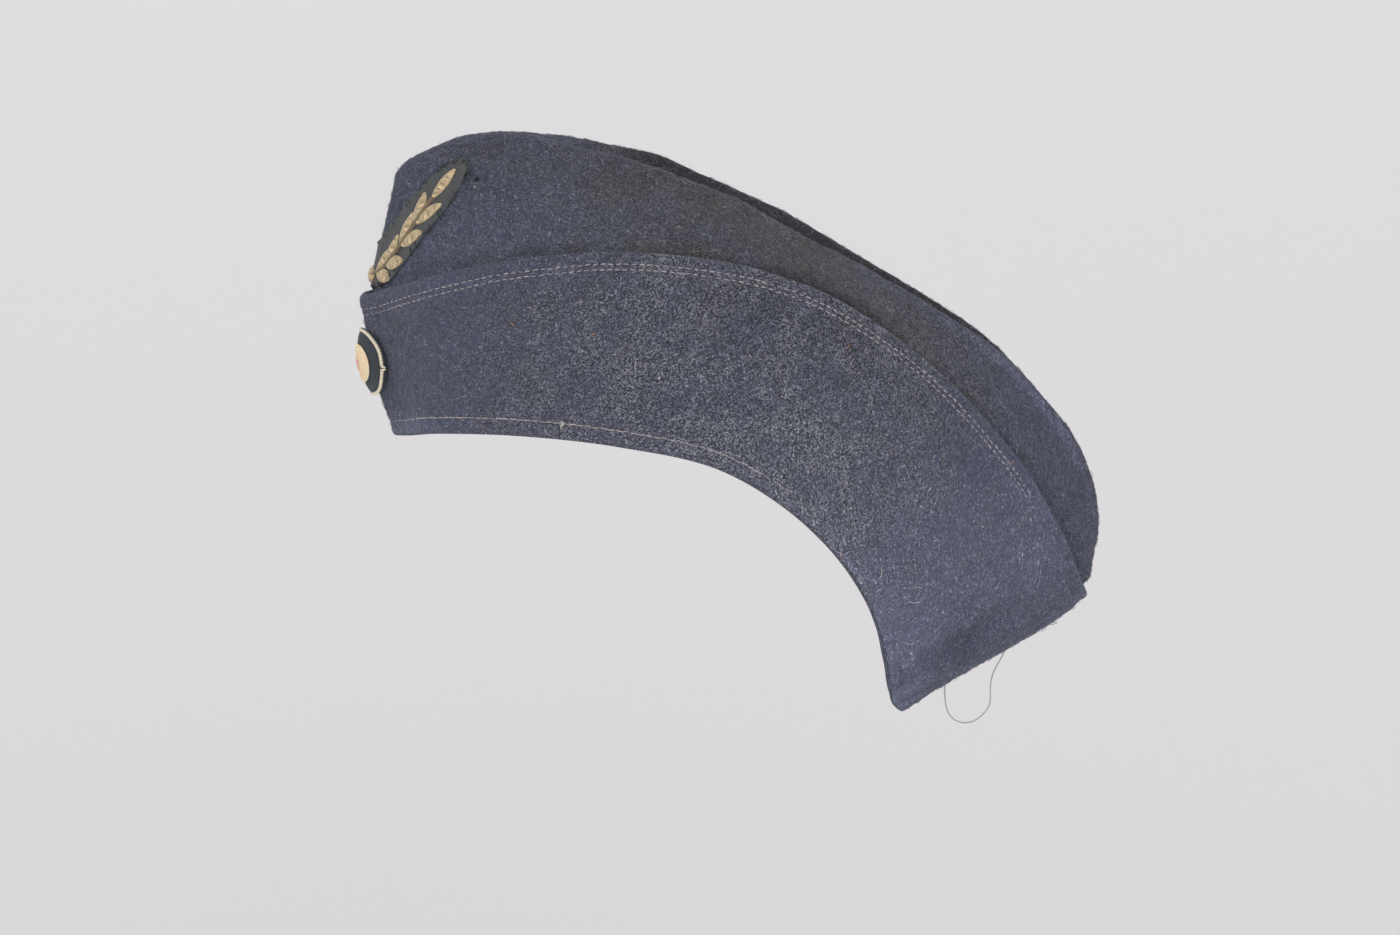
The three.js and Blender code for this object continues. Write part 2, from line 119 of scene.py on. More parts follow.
# Grid steps of the cloth
COLUMNS = 301
FLAP_LEVELS = np.concatenate([
    np.linspace(0.02, 0.14, 13), np.linspace(0.14, 0.82, 30)[1:], np.linspace(0.82, 0.98, 22)[1:]])
CROWN_LEVELS = np.concatenate([
    np.linspace(0.04, 0.94, 22), np.linspace(0.94, 2, 40)[1:], np.linspace(2, 3, 10)[1:],
    3 + (1 - (1 - np.linspace(0, 1, 18)[1:]) ** 1.6)])
ROLL_STEPS = 6
LENGTH_STEPS = 30

# Stitch rows on the flap: distance from its top edge or its rim, channels that they draw, puffed cloth
# between a row and the border, how deep the stitches sink: at first, where that grows, over what stretch
TOP_ROWS = (5.2 * MM, 7.3 * MM)
TOP_CHANNEL = 0.85 * MM
TOP_PUFF = 0.35
TOP_SINK = (0.0, 0.66, 0.16)
RIM_ROW = 5.6 * MM
RIM_CHANNEL = 0.9 * MM
RIM_CHANNEL_DEPTH = 0.8  # share of a top row's
RIM_PUFF = 0.3
RIM_SINK = (0.1, 0.5, 0.14)
PUFF_PLACE, PUFF_WIDTH = 2.4 * MM, 1.8 * MM
ROW_ENDS = (0.03, 0.985)

# Badge: distances on the crown's face, across from the front seam and up from the flap's top edge
BADGE_REACH = 0.45
FRONT_ROWS, FRONT_COLUMNS = 61, 121
BACKING_WALL = 1.0 * MM
BACKING_SEAT = 0.05 * MM
BACKING_OUTLINE = MM * np.array([
    (0, 2.5, 19), (8, 3, 24), (16, 6, 31), (24, 12, 36.5), (31, 20, 38), (35, 27, 36)], float)
BACKING_UNEVEN = 0.35 * MM
BACKING_PILLOW = 0.12 * MM
SPRAY_LIFT = 0.45 * MM
SPRAY_SEAT = 0.1 * MM
LEAF_DOME = 0.7 * MM
LEAF_LENGTH = 10 * MM
LEAF_WIDTH = 4.6 * MM
LEAF_SPREAD = math.radians(34)
LEAF_PAIRS = 4
LEAF_TIP = 0.25 * MM
LEAF_FULLNESS = 0.8
LEAF_ROOT = 0.6 * MM
FIRST_LEAF = 0.16
RIB_HEIGHT = 0.26 * MM
RIB_SLANT = 1.1
LEAF_RIBS = 1.4 * MM
KNOT_RIBS = 0.9 * MM
STEM_HALF_WIDTH = 0.8 * MM
STEM_LIFT = 0.35 * MM
STEM_POINTS = MM * np.array([(0, 7), (9, 9), (19, 17), (25.5, 27)], float)
KNOT_LENGTH = 6.5 * MM
KNOT_WIDTH = 5.5 * MM
TACKS = 34
TACK_HALF_LENGTH = (0.8 * MM, 1.5 * MM)
TACK_RADIUS = 0.2 * MM
LOOSE_END = 3.2 * MM
LOOSE_END_TURNS = (-0.5, 0.1, 0.7)
LOOSE_END_RADIUS = 0.15 * MM

# Cockade
COCKADE_ALONG = 0.015
COCKADE_LEVEL = 0.54
COCKADE_TILT = math.radians(3.2)  # more upright than the flap
COCKADE_RADIUS = 12.2 * MM
COCKADE_EDGE = 0.4 * MM
COCKADE_HEIGHT = 4.1 * MM
COCKADE_FULLNESS = 0.56  # exponent of the dome
COCKADE_PROUD = 0.45 * MM  # how far its felt stands past the solid
COCKADE_UNDERSIDE = np.array([0.01, 0.5, 0.80, 0.90, 1.006])  # shares of the radius
COCKADE_SINK = 0.5 * MM
LEFT_SLOPE = 0.31  # of its left half, which folds back round the cap's nose
FOLD_ROUNDING = 1.5 * MM
RIGHT_BEND = 0.05 / MM
SEAT_STEP = 0.004
SEAT_REACH = 1.3
CORD_RADIUS = 11.9 * MM
CORD_THICKNESS = 1.25 * MM
CORD_LIFT = 0.25 * MM
CORD_WINDS = 36
CORD_SWAY = 0.22 * MM
CORD_JOINT = 0.16  # turn at which its ends meet, down from the left
CORD_END = 1.5 * MM
CORD_TONE = 0.6
DISC_RADIUS = 7.3 * MM
DISC_LIFT = 0.1 * MM
DISC_THICKNESS = 0.6 * MM
DISC_STAIN = 0.75  # reach as a share of the radius
CENTRE_RADIUS = 2.7 * MM
CENTRE_LIFT = 0.55 * MM
CENTRE_THICKNESS = 0.28 * MM
CENTRE_STAIN = 0.72

# Single hairs on the left flap: along, level, heading, length, bend, lift, freedom of the end, thickness,
# tone from dark to pale
HAIRS = (
    (0.690, 0.11, 2.2, 5.5, 0.7, 0.35, 0.3, 0.20, 0.9), (0.698, 0.07, 1.9, 4.0, -0.9, 0.3, 0.2, 0.18, 0.8),
    (0.732, 0.19, 0.6, 5.0, 0.8, 0.35, 0.2, 0.20, 0.88), (0.724, 0.24, 1.2, 3.0, -0.6, 0.3, 0.2, 0.16, 0.8),
    (0.770, 0.12, 0.4, 2.6, 1.0, 0.3, 0.1, 0.18, 0.7), (0.343, 0.078, 0.0, 3.4, 5.8, 0.5, 0.0, 0.34, 0.85),
    (0.341, 0.085, 1.5, 3.0, -5.6, 0.4, 0.0, 0.32, 0.78), (0.345, 0.075, 2.8, 2.6, 4.0, 0.6, 0.3, 0.30, 0.9),
    (0.990, 0.71, -1.4, 2.8, 0.5, 1.6, 1.0, 0.26, 0.0), (0.988, 0.73, -0.9, 3.4, -0.7, 1.9, 1.0, 0.26, 0.1),
    (0.992, 0.74, 2.0, 2.6, 0.9, 1.5, 1.0, 0.24, 0.05), (0.986, 0.72, 0.8, 2.4, 0.6, 1.8, 1.0, 0.24, 0.15),
    (0.427, 0.36, 0.9, 1.0, 0.5, 0.2, 0.0, 0.55, 0.9), (0.470, 0.30, 0.5, 3.2, 0.9, 0.25, 0.1, 0.15, 0.7),
    (0.300, 0.62, 2.5, 1.2, 0.4, 0.2, 0.0, 0.40, 1.0), (0.560, 0.78, 1.1, 1.1, 0.4, 0.2, 0.0, 0.40, 1.0),
)

# Route of the loose thread under the back seam: across, along, up in the row frame
THREAD_ROUTE = (
    (1.2, 131.0, -27.2), (1.6, 131.4, -29.2), (2.0, 130.4, -32.2), (2.2, 128.6, -35.4), (2.3, 127.2, -38.4),
    (2.3, 126.4, -41.4), (2.2, 126.2, -44.4), (2.0, 126.3, -47.4), (1.9, 126.2, -50.0), (2.0, 124.9, -52.6),
    (2.3, 122.6, -55.0), (2.6, 119.9, -56.7), (2.8, 117.0, -57.2), (2.8, 114.2, -56.6), (2.6, 111.8, -54.9),
    (2.2, 110.3, -52.2), (1.8, 109.7, -48.9), (1.5, 109.4, -45.6), (1.2, 109.6, -42.4),
)

# Soiling and painted shade where the strength is above 0, lighter cloth where below, mostly painted light:
# along, level, reach along, reach up the wall, strength
CROWN_SOIL_SHADE_AND_LIGHT = (
    (0.28, 2.1, 0.10, 0.30, 1.2),
    (0.40, 1.75, 0.09, 0.45, 0.6),
    (0.50, 1.8, 0.13, 0.50, 1.3),
    # painted shadow under the flap's top edge
    (0.45, 1.02, 0.26, 0.10, 1.4),
    (0.64, 1.85, 0.12, 0.45, 0.6),
    # painted shadow under the flap's top edge
    (0.55, 1.15, 0.11, 0.22, 1.8),
    # painted highlights along the ridge
    (0.72, 2.10, 0.10, 0.28, -0.9),
    (0.66, 2.00, 0.10, 0.10, -0.6),
    (0.82, 2.00, 0.10, 0.12, -0.9),
    (0.88, 1.60, 0.09, 0.60, -0.3),
    (0.30, 1.10, 0.10, 0.40, -0.25),
)
FLAP_SOIL_SHADE_AND_LIGHT = (
    (0.10, 0.50, 0.14, 0.70, 0.45),
    (0.36, 0.92, 0.20, 0.25, 0.5),
    (0.40, 0.30, 0.10, 0.25, 0.15),
    # painted shade in the dents at the back
    (0.815, 0.34, 0.020, 0.16, 0.6),
    (0.87, 0.30, 0.05, 0.22, 0.35),
    (0.93, 0.45, 0.03, 0.30, 0.45),
    # painted shadow under the flap's top edge
    (0.54, 0.80, 0.08, 0.24, 1.2),
    (0.60, 0.88, 0.10, 0.25, 0.5),
    # painted light reflected up onto the rim
    (0.70, 0.0, 0.12, 0.13, -0.8),
    (0.83, 0.0, 0.10, 0.22, -1.1),
    (0.97, 0.60, 0.05, 0.60, -0.55),
    (0.73, 0.25, 0.07, 0.35, -0.35),
    # painted light reflected up onto the rim
    (0.10, 0.05, 0.10, 0.18, -0.7),
    (0.17, 0.93, 0.10, 0.16, -0.4),
    # painted light reflected up onto the rim
    (0.93, 0.0, 0.06, 0.14, -0.6),
    (0.80, 0.85, 0.08, 0.20, -0.35),
    (0.45, 0.62, 0.11, 0.30, 0.35),
    (0.84, 0.45, 0.12, 0.70, -0.25),
    # painted light reflected up onto the rim
    (0.07, 0.0, 0.10, 0.13, -0.6),
    (0.70, 0.55, 0.14, 0.50, -0.2),
)

# Painted shade in the valley between the ridges: strength, and where it comes in up the crown and along it
VALLEY_PAINTED_SHADE = 2.9
VALLEY_SHADE_LEVEL = (2.3, 0.4)
VALLEY_SHADE_ALONG = (0.33, 0.08)

# A worn hole in the left panel, not cut but painted as a near-black spot of the shade seen through it:
# place, reach and unevenness of its border, colour
HOLE_ALONG, HOLE_LEVEL = 0.242, 1.74
HOLE_BORDER = (1.35 * MM, 1.8 * MM)
HOLE_UNEVEN, HOLE_GRAIN = 1.1 * MM, 0.9 * MM
HOLE_SHADE_COLOUR = (0.004, 0.004, 0.005)

# Wool: sharpness of the bare grain, contrast of the nap and of its patches
CROWN_NAP = {"Grain": 0.3, "Contrast": 1.25, "Patches": 0.45}
FLAP_NAP = {"Grain": 1.15, "Contrast": 0.72, "Patches": 0.15}

# Nap: layers of strokes, each with the size of its patches, length and width of a stroke, and shift
NAP_STROKES = (
    (2.2, 2.6, 0.70, (0.0, 0.0)),
    (1.6, 2.0, 0.58, (13.7, 4.1)),
    (1.2, 1.6, 0.48, (5.9, 11.3)),
)
STROKE_REACH = 0.085
STROKE_DULLEST = 0.65
STROKE_MEAN = 0.42
SWIRL_SIZE, SWIRL_PULL = 1.5 * MM, 0.9 * MM
NAPPED_SIZE = 17 * MM
SPECK_SIZE = 0.40 * MM
PATCH_SIZE = 6 * MM
MIDDLE_TONE = 0.44
WEAR_START = (215 * MM, 320 * MM)
WEAR_END = (380 * MM, 480 * MM)
NAP_BUMP = 0.35 * MM

# Coloured flecks in the wool
FLECK_SPACING = 9 * MM
FLECK_RARITY = 0.72  # share of the cells without one
FLECK_REACH = (0.022, 0.06)
FLECK_COVER = 0.75
FLECK_BROWN = (0.42, 0.20, 0.08)
FLECK_PALE = (0.62, 0.58, 0.52)

# Raised fibres: where they stand up the wall, and the colour of the odd ones among them
CROWN_FIBRE_LEVELS = (1.0, 3.7)
FLAP_FIBRE_LEVELS = (0.02, 0.98)
CROWN_ODD_FIBRE = (0.34, 0.27, 0.20)
FLAP_ODD_FIBRE = (0.38, 0.31, 0.24)
LINT_DARK = (0.03, 0.035, 0.05)
LINT_PALE = (0.62, 0.58, 0.54)
LINT_BROWN = (0.50, 0.22, 0.09)

# Tints of the cloth: clouds a metre, tint of the deeper painted shade, brightness of the painted light
TINT_CLOUDS = 70.0
PAINTED_DEEP_SHADE_TINT = (0.42, 0.42, 0.44)
PAINTED_LIGHT_GAIN = 1.6

# Camera, floor and lights
CAMERA_AIM = MM * np.array([0.0, 19.16, 37.99])
SENSOR_WIDTH = 36.0
FLOOR_RINGS = np.array([0.4, 1.2, 4.0, 14.0, 40.0])
FLOOR_SIDES = 64
HORIZON_COLOUR = (1.0, 0.995, 1.0)
ZENITH_COLOUR = (0.22, 0.22, 0.225)
SKY_BLEND = (0.05, 0.9)
KEY_PLACE = (1.0, 0.55, 0.30)
BACK_PLACE = (-0.9, -0.5, 0.9)
LIGHT_SPREAD = math.radians(60)


# Curves and faces


def unit(vectors):
    """Vectors divided by their lengths."""
    return vectors / np.maximum(np.linalg.norm(vectors, axis=-1, keepdims=True), 1e-12)


def span(before, start, end, after, share):
    """Centripetal Catmull-Rom: a cubic from start to end, its slopes weighed by roots of chord lengths."""
    first, middle, last = (
        np.sqrt(np.maximum(np.linalg.norm(b - a, axis=-1, keepdims=True), 1e-12))
        for a, b in ((before, start), (start, end), (end, after)))
    leave = ((start - before) / first - (end - before) / (first + middle) + (end - start) / middle) * middle
    arrive = ((end - start) / middle - (after - start) / (middle + last) + (after - end) / last) * middle
    square, cube = share ** 2, share ** 3
    return (start * (2 * cube - 3 * square + 1) + leave * (cube - 2 * square + share)
            + end * (3 * square - 2 * cube) + arrive * (cube - square))


def smooth_line(points, steps):
    """A smooth line through points, with a number of steps from each to the next."""
    knots = np.concatenate([2 * points[:1] - points[1:2], points, 2 * points[-1:] - points[-2:-1]])
    share = np.linspace(0, 1, steps + 1)[:-1, None, None]
    line = span(knots[:-3], knots[1:-2], knots[2:-1], knots[3:], share).swapaxes(0, 1)
    return np.concatenate([line.reshape(-1, points.shape[1]), points[-1:]])


def round_loop(row, along):
    """A row of the sections as a loop round the cap, mirrored past both seams, at places along it."""
    knots = np.concatenate([row[1:2] * MIRROR, row, row[-2:-1] * MIRROR])
    place = along * (len(row) - 1)
    index = np.clip(np.floor(place).astype(int), 0, len(row) - 2)
    return span(knots[index], knots[index + 1], knots[index + 2], knots[index + 3], (place - index)[:, None])


def crown_face(along, level):
    """Crown's outer face: at each place along, a curve rim to edge to ridge, a fold, a straight gusset."""
    rim, edge, ridge, valley = (round_loop(row, along)[None] for row in (RIM, EDGE, RIDGE, VALLEY))
    rise = level[:, None, None]
    upper = np.linalg.norm(ridge - edge, axis=-1, keepdims=True)
    gusset = np.linalg.norm(valley - ridge, axis=-1, keepdims=True)
    fold = np.minimum(RIDGE_FOLD, FOLD_SHARE * gusset)
    keep = 1 - fold / upper
    start = span(rim, edge, ridge, 2 * ridge - edge, keep)
    end = ridge + (valley - ridge) * fold / gusset
    lower_wall = span(2 * rim - edge, rim, edge, ridge, np.clip(rise, 0, 1))
    upper_wall = span(rim, edge, ridge, 2 * ridge - edge, np.clip(rise - 1, 0, 1) * keep)
    turn = np.clip(rise - 2, 0, 1)
    rounding = start * (1 - turn) ** 2 + ridge * 2 * turn * (1 - turn) + end * turn ** 2
    slope = end + (valley - end) * np.clip(rise - 3, 0, 1)
    return np.select([rise <= 1, rise <= 2, rise <= 3], [lower_wall, upper_wall, rounding], slope)


def face_normals(points, to_valley):
    """Outward normals from neighbours along and up the face, mirrored past the seams."""
    mirrored = points * MIRROR
    wide = np.concatenate([mirrored[:, 1:2], points, mirrored[:, -2:-1]], axis=1)
    tall = np.concatenate([points, mirrored[-2:-1]]) if to_valley else points
    up = np.gradient(tall, axis=0)[:len(points)]
    return unit(np.cross(wide[:, 2:] - wide[:, :-2], up))


def soft_noise(points, wavelength, seed, waves=24):
    """Smooth noise of about unit height: a sum of plane waves in random directions."""
    rng = np.random.default_rng(seed)
    directions = unit(rng.normal(size=(waves, 3)))
    lengths = wavelength * rng.uniform(0.7, 1.4, waves)
    phases = rng.uniform(0, 2 * math.pi, waves)
    turns = points @ (directions * (2 * math.pi / lengths)[:, None]).T
    return np.cos(turns + phases).sum(-1) * math.sqrt(2 / waves)


def bell(distance, reach):
    """A bell of height 1 that falls off over the reach."""
    return np.exp(-(distance / reach) ** 2)


def fade_in(values, start, length):
    """A straight rise from 0 at the start to 1 a length past it."""
    return np.clip((values - start) / length, 0, 1)


def run_lengths(points, axis):
    """Lengths along lines of points, from 0 at each line's first point."""
    steps = np.linalg.norm(np.diff(points, axis=axis), axis=-1)
    return np.concatenate([0 * np.take(steps, [0], axis), np.cumsum(steps, axis)], axis)


def spot(along, level, at, rise, reach_along, reach_level):
    """A soft spot on the cloth's grid: a bell along the cap times a bell up the wall."""
    return bell(along - at, reach_along)[None] * bell(level - rise, reach_level)[:, None]


def crease_distance(along, level, ends):
    """Distance of each grid place from a crease's line, on the flattened cloth."""
    place = np.stack(np.meshgrid(along, level), -1) * FLAT_CLOTH
    start, end = np.reshape(ends, (2, 2)) * FLAT_CLOTH
    line = end - start
    share = np.clip(((place - start) @ line) / (line @ line), 0, 1)
    return np.linalg.norm(place - start - share[..., None] * line, axis=-1)


def cloth_relief(half, points, along, level, seam):
    """Height of the worn cloth over its plain face: waves, dents, creases, cloth drawn into the seams."""
    relief = sum(height * MM * soft_noise(points * (half, 1, 1), length * MM, seed)
                 for length, height, seed in WAVES)
    across = np.abs(points[..., 0])
    by_ridge = RIDGE_CALM * bell(level - 2, RIDGE_CALM_REACH)
    relief = relief * ((1 - SEAM_CALM * bell(across, SEAM_CALM_REACH)) * (1 - by_ridge)[:, None])
    swell = SEAM_SWELL * bell(across - SEAM_SWELL_PLACE, SEAM_SWELL_WIDTH)
    relief = relief - seam * (bell(across, SEAM_WIDTH) - swell)
    for side, at, rise, depth, reach_along, reach_level in DENTS:
        if side in (0, half):
            relief = relief - depth * MM * spot(along, level, at, rise, reach_along, reach_level)
    for side, *ends, depth, half_width in CREASES:
        if side == half:
            away = crease_distance(along, level, ends)
            width = half_width * MM
            swell = CREASE_SWELL * bell(away - CREASE_SWELL_PLACE * width, width)
            relief = relief - depth * MM * (bell(away, width) - swell)
    return relief


def between(grid, row, column):
    """Values straight between a grid's points, at places counted in rows and columns."""
    r = np.clip(row.astype(int), 0, grid.shape[0] - 2)
    c = np.clip(column.astype(int), 0, grid.shape[1] - 2)
    spread = row.shape + (1,) * (grid.ndim - 2)
    dr, dc = np.reshape(row - r, spread), np.reshape(column - c, spread)
    low = grid[r, c] * (1 - dc) + grid[r, c + 1] * dc
    high = grid[r + 1, c] * (1 - dc) + grid[r + 1, c + 1] * dc
    return low * (1 - dr) + high * dr


class Face:
    """A face sampled on a grid, so that trim can be laid on it at any place along and up it."""

    def __init__(self, along, level, points, normals):
        self.along, self.level = along, level
        self.points, self.normals = points, normals

    def at(self, along, level, height=0.0):
        """Points at a height over the face, and its normals there, straight between the grid's points."""
        column = np.interp(along, self.along, np.arange(len(self.along)))
        row = np.interp(level, self.level, np.arange(len(self.level)))
        normals = unit(between(self.normals, row, column))
        return between(self.points, row, column) + normals * np.asarray(height)[..., None], normals


FACES = {}  # outer faces of crown and flap, kept by the operators that make them


def rolled_edge(outer, inner, outward, start, end):
    """Rows of a half circle from one face's border round to the other's, bulging outward."""
    centre, arm = (outer + inner) / 2, (outer - inner) / 2
    bulge = outward * np.linalg.norm(arm, axis=-1, keepdims=True)
    turns = np.linspace(start, end, ROLL_STEPS + 2)[1:-1, None, None]
    return centre + np.cos(turns) * arm + np.abs(np.sin(turns)) * bulge


def upper_edge(outer, inner, outward):
    """A rolled edge that joins the outer face's last row to the inner face's."""
    return rolled_edge(outer[-1], inner[-1], outward, 0, math.pi)


def lower_edge(outer, inner, outward):
    """A rolled edge that joins the inner face's first row to the outer face's."""
    return rolled_edge(outer[0], inner[0], outward, math.pi, 2 * math.pi)


def half_kept(points, half):
    """Points of the left half kept on their side of the middle plane, mirrored for the right half."""
    kept = points.copy()
    kept[..., 0] = half * np.maximum(kept[..., 0], 0)
    return kept


def half_face(half, along, level, outer, to_valley):
    """The outer face of a half, to lay trim on."""
    return Face(along, level, half_kept(outer, half), face_normals(outer, to_valley) * (half, 1, 1))


def crown_panel(half, wall, seam):
    """Closed outline rows of a crown panel: outer face up, inner face down, a rolled border at the rim."""
    along = np.linspace(0, 1, COLUMNS)
    base = crown_face(along, CROWN_LEVELS)
    normals = face_normals(base, True)
    relief = cloth_relief(half, base, along, CROWN_LEVELS, seam)
    outer = base + normals * relief[..., None]
    inner = base + normals * (relief - wall)[..., None]
    rows = np.concatenate([outer, inner[::-1], lower_edge(outer, inner, unit(base[0] - base[1]))])
    return half_kept(rows, half), half_face(half, along, CROWN_LEVELS, outer, True)


def flap_length(along):
    """Length of the flap from rim to top edge at places along the cap."""
    return run_lengths(crown_face(along, np.linspace(0, 1, LENGTH_STEPS)), 0)[-1]


def flap_half(half, wall, seam, channel):
    """Closed outline rows of a flap half: outer face up, rolled top edge, inner face down, rolled fold."""
    along = np.linspace(0, 1, COLUMNS)
    base = crown_face(along, FLAP_LEVELS)
    normals = face_normals(base, False)
    relief = cloth_relief(half, base, along, FLAP_LEVELS, seam)
    clearance = FLAP_GAP + np.interp(along, SECTION_PLACES, LIFT)[None] * FLAP_LEVELS[:, None] ** 2
    inner = base + normals * (relief + clearance)[..., None]
    from_rim = FLAP_LEVELS[:, None] * flap_length(along)[None]
    from_top = flap_length(along)[None] - from_rim
    drawn_in = sum(bell(from_top - row, TOP_CHANNEL) for row in TOP_ROWS)
    drawn_in = drawn_in + RIM_CHANNEL_DEPTH * bell(from_rim - RIM_ROW, RIM_CHANNEL)
    puff = (TOP_PUFF * bell(from_top - PUFF_PLACE, PUFF_WIDTH)
            + RIM_PUFF * bell(from_rim - PUFF_PLACE, PUFF_WIDTH))
    outer = inner + normals * (wall - channel * (drawn_in - puff))[..., None]
    middle = (outer + inner) / 2
    rows = np.concatenate([outer, upper_edge(outer, inner, unit(middle[-1] - middle[-2])),
                           inner[::-1], lower_edge(outer, inner, unit(middle[0] - middle[1]))])
    return half_kept(rows, half), half_face(half, along, FLAP_LEVELS, outer, False)


# Meshes


def to_row(points):
    """Turns the cap's level frame into the row frame, leaning it back as worn."""
    c, s = math.cos(WORN_TILT), math.sin(WORN_TILT)
    x, y, z = np.moveaxis(points, -1, 0)
    return np.stack([x, c * y + s * z, c * z - s * y], -1)


def grid_corners(rows, columns):
    """Row and column of each quad's four corners, on a grid whose last row meets its first."""
    r = np.arange(rows)[:, None]
    c = np.arange(columns - 1)[None]
    corner_rows = np.stack(np.broadcast_arrays(r, r, r + 1, r + 1 + 0 * c), -1).reshape(-1, 4)
    corner_columns = np.stack(np.broadcast_arrays(c + 0 * r, c + 1, c + 1, c), -1).reshape(-1, 4)
    return corner_rows, corner_columns


class Build:
    """Points, faces and corner coordinates of a mesh, gathered block by block."""

    def __init__(self):
        self.points, self.blocks, self.maps, self.values = [], [], [], []
        self.count = 0

    def add(self, points, blocks, value=None):
        """Adds points, and faces as (corner indices, corner coordinates) blocks."""
        points = points.reshape(-1, 3)
        self.points.append(points)
        for corners, places in blocks:
            self.blocks.append(corners + self.count)
            self.maps.append(places)
        self.values.append(np.zeros(len(points)) if value is None else np.ravel(value))
        self.count += len(points)

    def band(self, rows, flip, value=None, turn=1.0):
        """A closed outline carried along a path: rows wrap round, and both ends are closed by strips.

        A corner's coordinates are the lengths along its row from the middle column and up its column. The
        first have the longest row's length added, so that they keep their sign, and turn mirrors them.
        """
        count, columns = rows.shape[:2]
        closed = np.concatenate([rows, rows[:1]])
        corner_rows, corner_columns = grid_corners(count, columns)
        u, v = run_lengths(closed, 1), run_lengths(closed, 0)
        u = turn * (u - u[:, columns // 2, None] + u[:, -1:].max())
        quads = (corner_rows % count) * columns + corner_columns
        places = np.stack([u[corner_rows, corner_columns], v[corner_rows, corner_columns]], -1)
        i = np.arange(count // 2 - 1)
        front = np.stack([i, i + 1, count - 2 - i, count - 1 - i], -1) * columns
        back = np.stack([i + 1, i, count - 1 - i, count - 2 - i], -1) * columns + columns - 1
        ends = np.concatenate([front, back])
        blocks = [(quads, places), (ends, np.zeros(ends.shape + (2,)))]
        if flip:
            blocks = [(corners[:, ::-1], spots[:, ::-1]) for corners, spots in blocks]
        self.add(rows, blocks, value)
        return u, v

    def tubes(self, lines, normals, radius, sides, value=None):
        """Round tubes along many lines at once: lines is (tubes, steps, 3), radius (tubes, steps)."""
        tangents = unit(np.gradient(lines, axis=1))
        across = unit(np.cross(tangents, normals))
        turns = (np.arange(sides) * 2 * math.pi / sides)[None, :, None, None]
        ring = np.cos(turns) * across[:, None] + np.sin(turns) * np.cross(across, tangents)[:, None]
        self.joined(lines[:, None] + ring * radius[:, None, :, None], value)

    def joined(self, points, value=None):
        """Rings of points, (tubes, sides, steps, 3), joined along their steps, both ends closed."""
        tubes, sides, steps = points.shape[:3]
        corner_rows, corner_columns = grid_corners(sides, steps)
        offsets = (np.arange(tubes) * sides * steps)[:, None, None]
        quads = ((corner_rows % sides) * steps + corner_columns)[None] + offsets
        u = run_lengths(points[:, 0], 1)[:, corner_columns]
        v = np.broadcast_to(corner_rows / sides, u.shape)
        side = np.arange(sides) * steps
        ends = np.concatenate([side[None] + offsets[:, 0], (side + steps - 1)[::-1][None] + offsets[:, 0]])
        blocks = [(quads.reshape(-1, 4), np.stack([u, v], -1).reshape(-1, 4, 2)),
                  (ends, np.zeros(ends.shape + (2,)))]
        each = np.zeros((tubes, 1, 1)) if value is None else np.reshape(value, (tubes, 1, -1))
        self.add(points, blocks, np.broadcast_to(each, points.shape[:3]))

    def piece(self, name, material, slot, replaced=(), level_frame=True):
        """Makes the object, puts its finish on and rides it on the part."""
        points = np.concatenate(self.points)
        points = to_row(points) if level_frame else points
        sizes = np.concatenate([np.full(len(block), block.shape[1]) for block in self.blocks])
        mesh = bpy.data.meshes.new(name)
        mesh.vertices.add(len(points))
        mesh.vertices.foreach_set("co", points.astype(np.float32).ravel())
        mesh.loops.add(int(sizes.sum()))
        corners = np.concatenate([block.ravel() for block in self.blocks])
        mesh.loops.foreach_set("vertex_index", corners.astype(np.int32))
        mesh.polygons.add(len(sizes))
        mesh.polygons.foreach_set("loop_start", (np.cumsum(sizes) - sizes).astype(np.int32))
        mesh.update(calc_edges=True)
        cloth = mesh.uv_layers.new(name="cloth")
        cloth.data.foreach_set("uv", np.concatenate([m.ravel() for m in self.maps]).astype(np.float32))
        tone = mesh.attributes.new("tone", "FLOAT", "POINT")
        tone.data.foreach_set("value", np.concatenate(self.values).astype(np.float32))
        if mesh.validate():
            raise RuntimeError(f"{name} has faces that are not sound")
        mesh.shade_smooth()
        mesh.materials.append(material)
        made = bpy.data.objects.new(name, mesh)
        bpy.context.scene.collection.objects.link(made)
        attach(made, "root")
        if replaced:
            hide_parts(*replaced)
        return made


# Shader nodes


def node(tree, kind, inputs=None, **settings):
    """A node with its settings, and its inputs set or linked."""
    made = tree.nodes.new("ShaderNode" + kind)
    for name, value in settings.items():
        setattr(made, name, value)
    for key, value in (inputs or {}).items():
        if isinstance(value, bpy.types.NodeSocket):
            tree.links.new(value, made.inputs[key])
        else:
            made.inputs[key].default_value = value
    return made


def sums(tree, operation, first, second=0.0, third=0.0):
    """Output of a Math node."""
    return node(tree, "Math", {0: first, 1: second, 2: third}, operation=operation).outputs[0]


def vector_sums(tree, operation, first, second):
    """Output of a Vector Math node."""
    return node(tree, "VectorMath", {0: first, 1: second}, operation=operation).outputs[0]


def mixed(tree, share, first, second, blend="MIX"):
    """Output of a colour Mix node."""
    made = node(tree, "Mix", {0: share, 6: first, 7: second}, data_type="RGBA", blend_type=blend)
    return made.outputs[2]


def multiplied(tree, first, second):
    """One colour times another."""
    return mixed(tree, 1.0, first, second, "MULTIPLY")


def toned(tree, colour, shade):
    """A colour made lighter or darker by a value."""
    return multiplied(tree, colour, node(tree, "CombineColor", {0: shade, 1: shade, 2: shade}).outputs[0])


def clamped(tree, value):
    """A value kept from 0 to 1."""
    return node(tree, "Clamp", {"Value": value}).outputs[0]


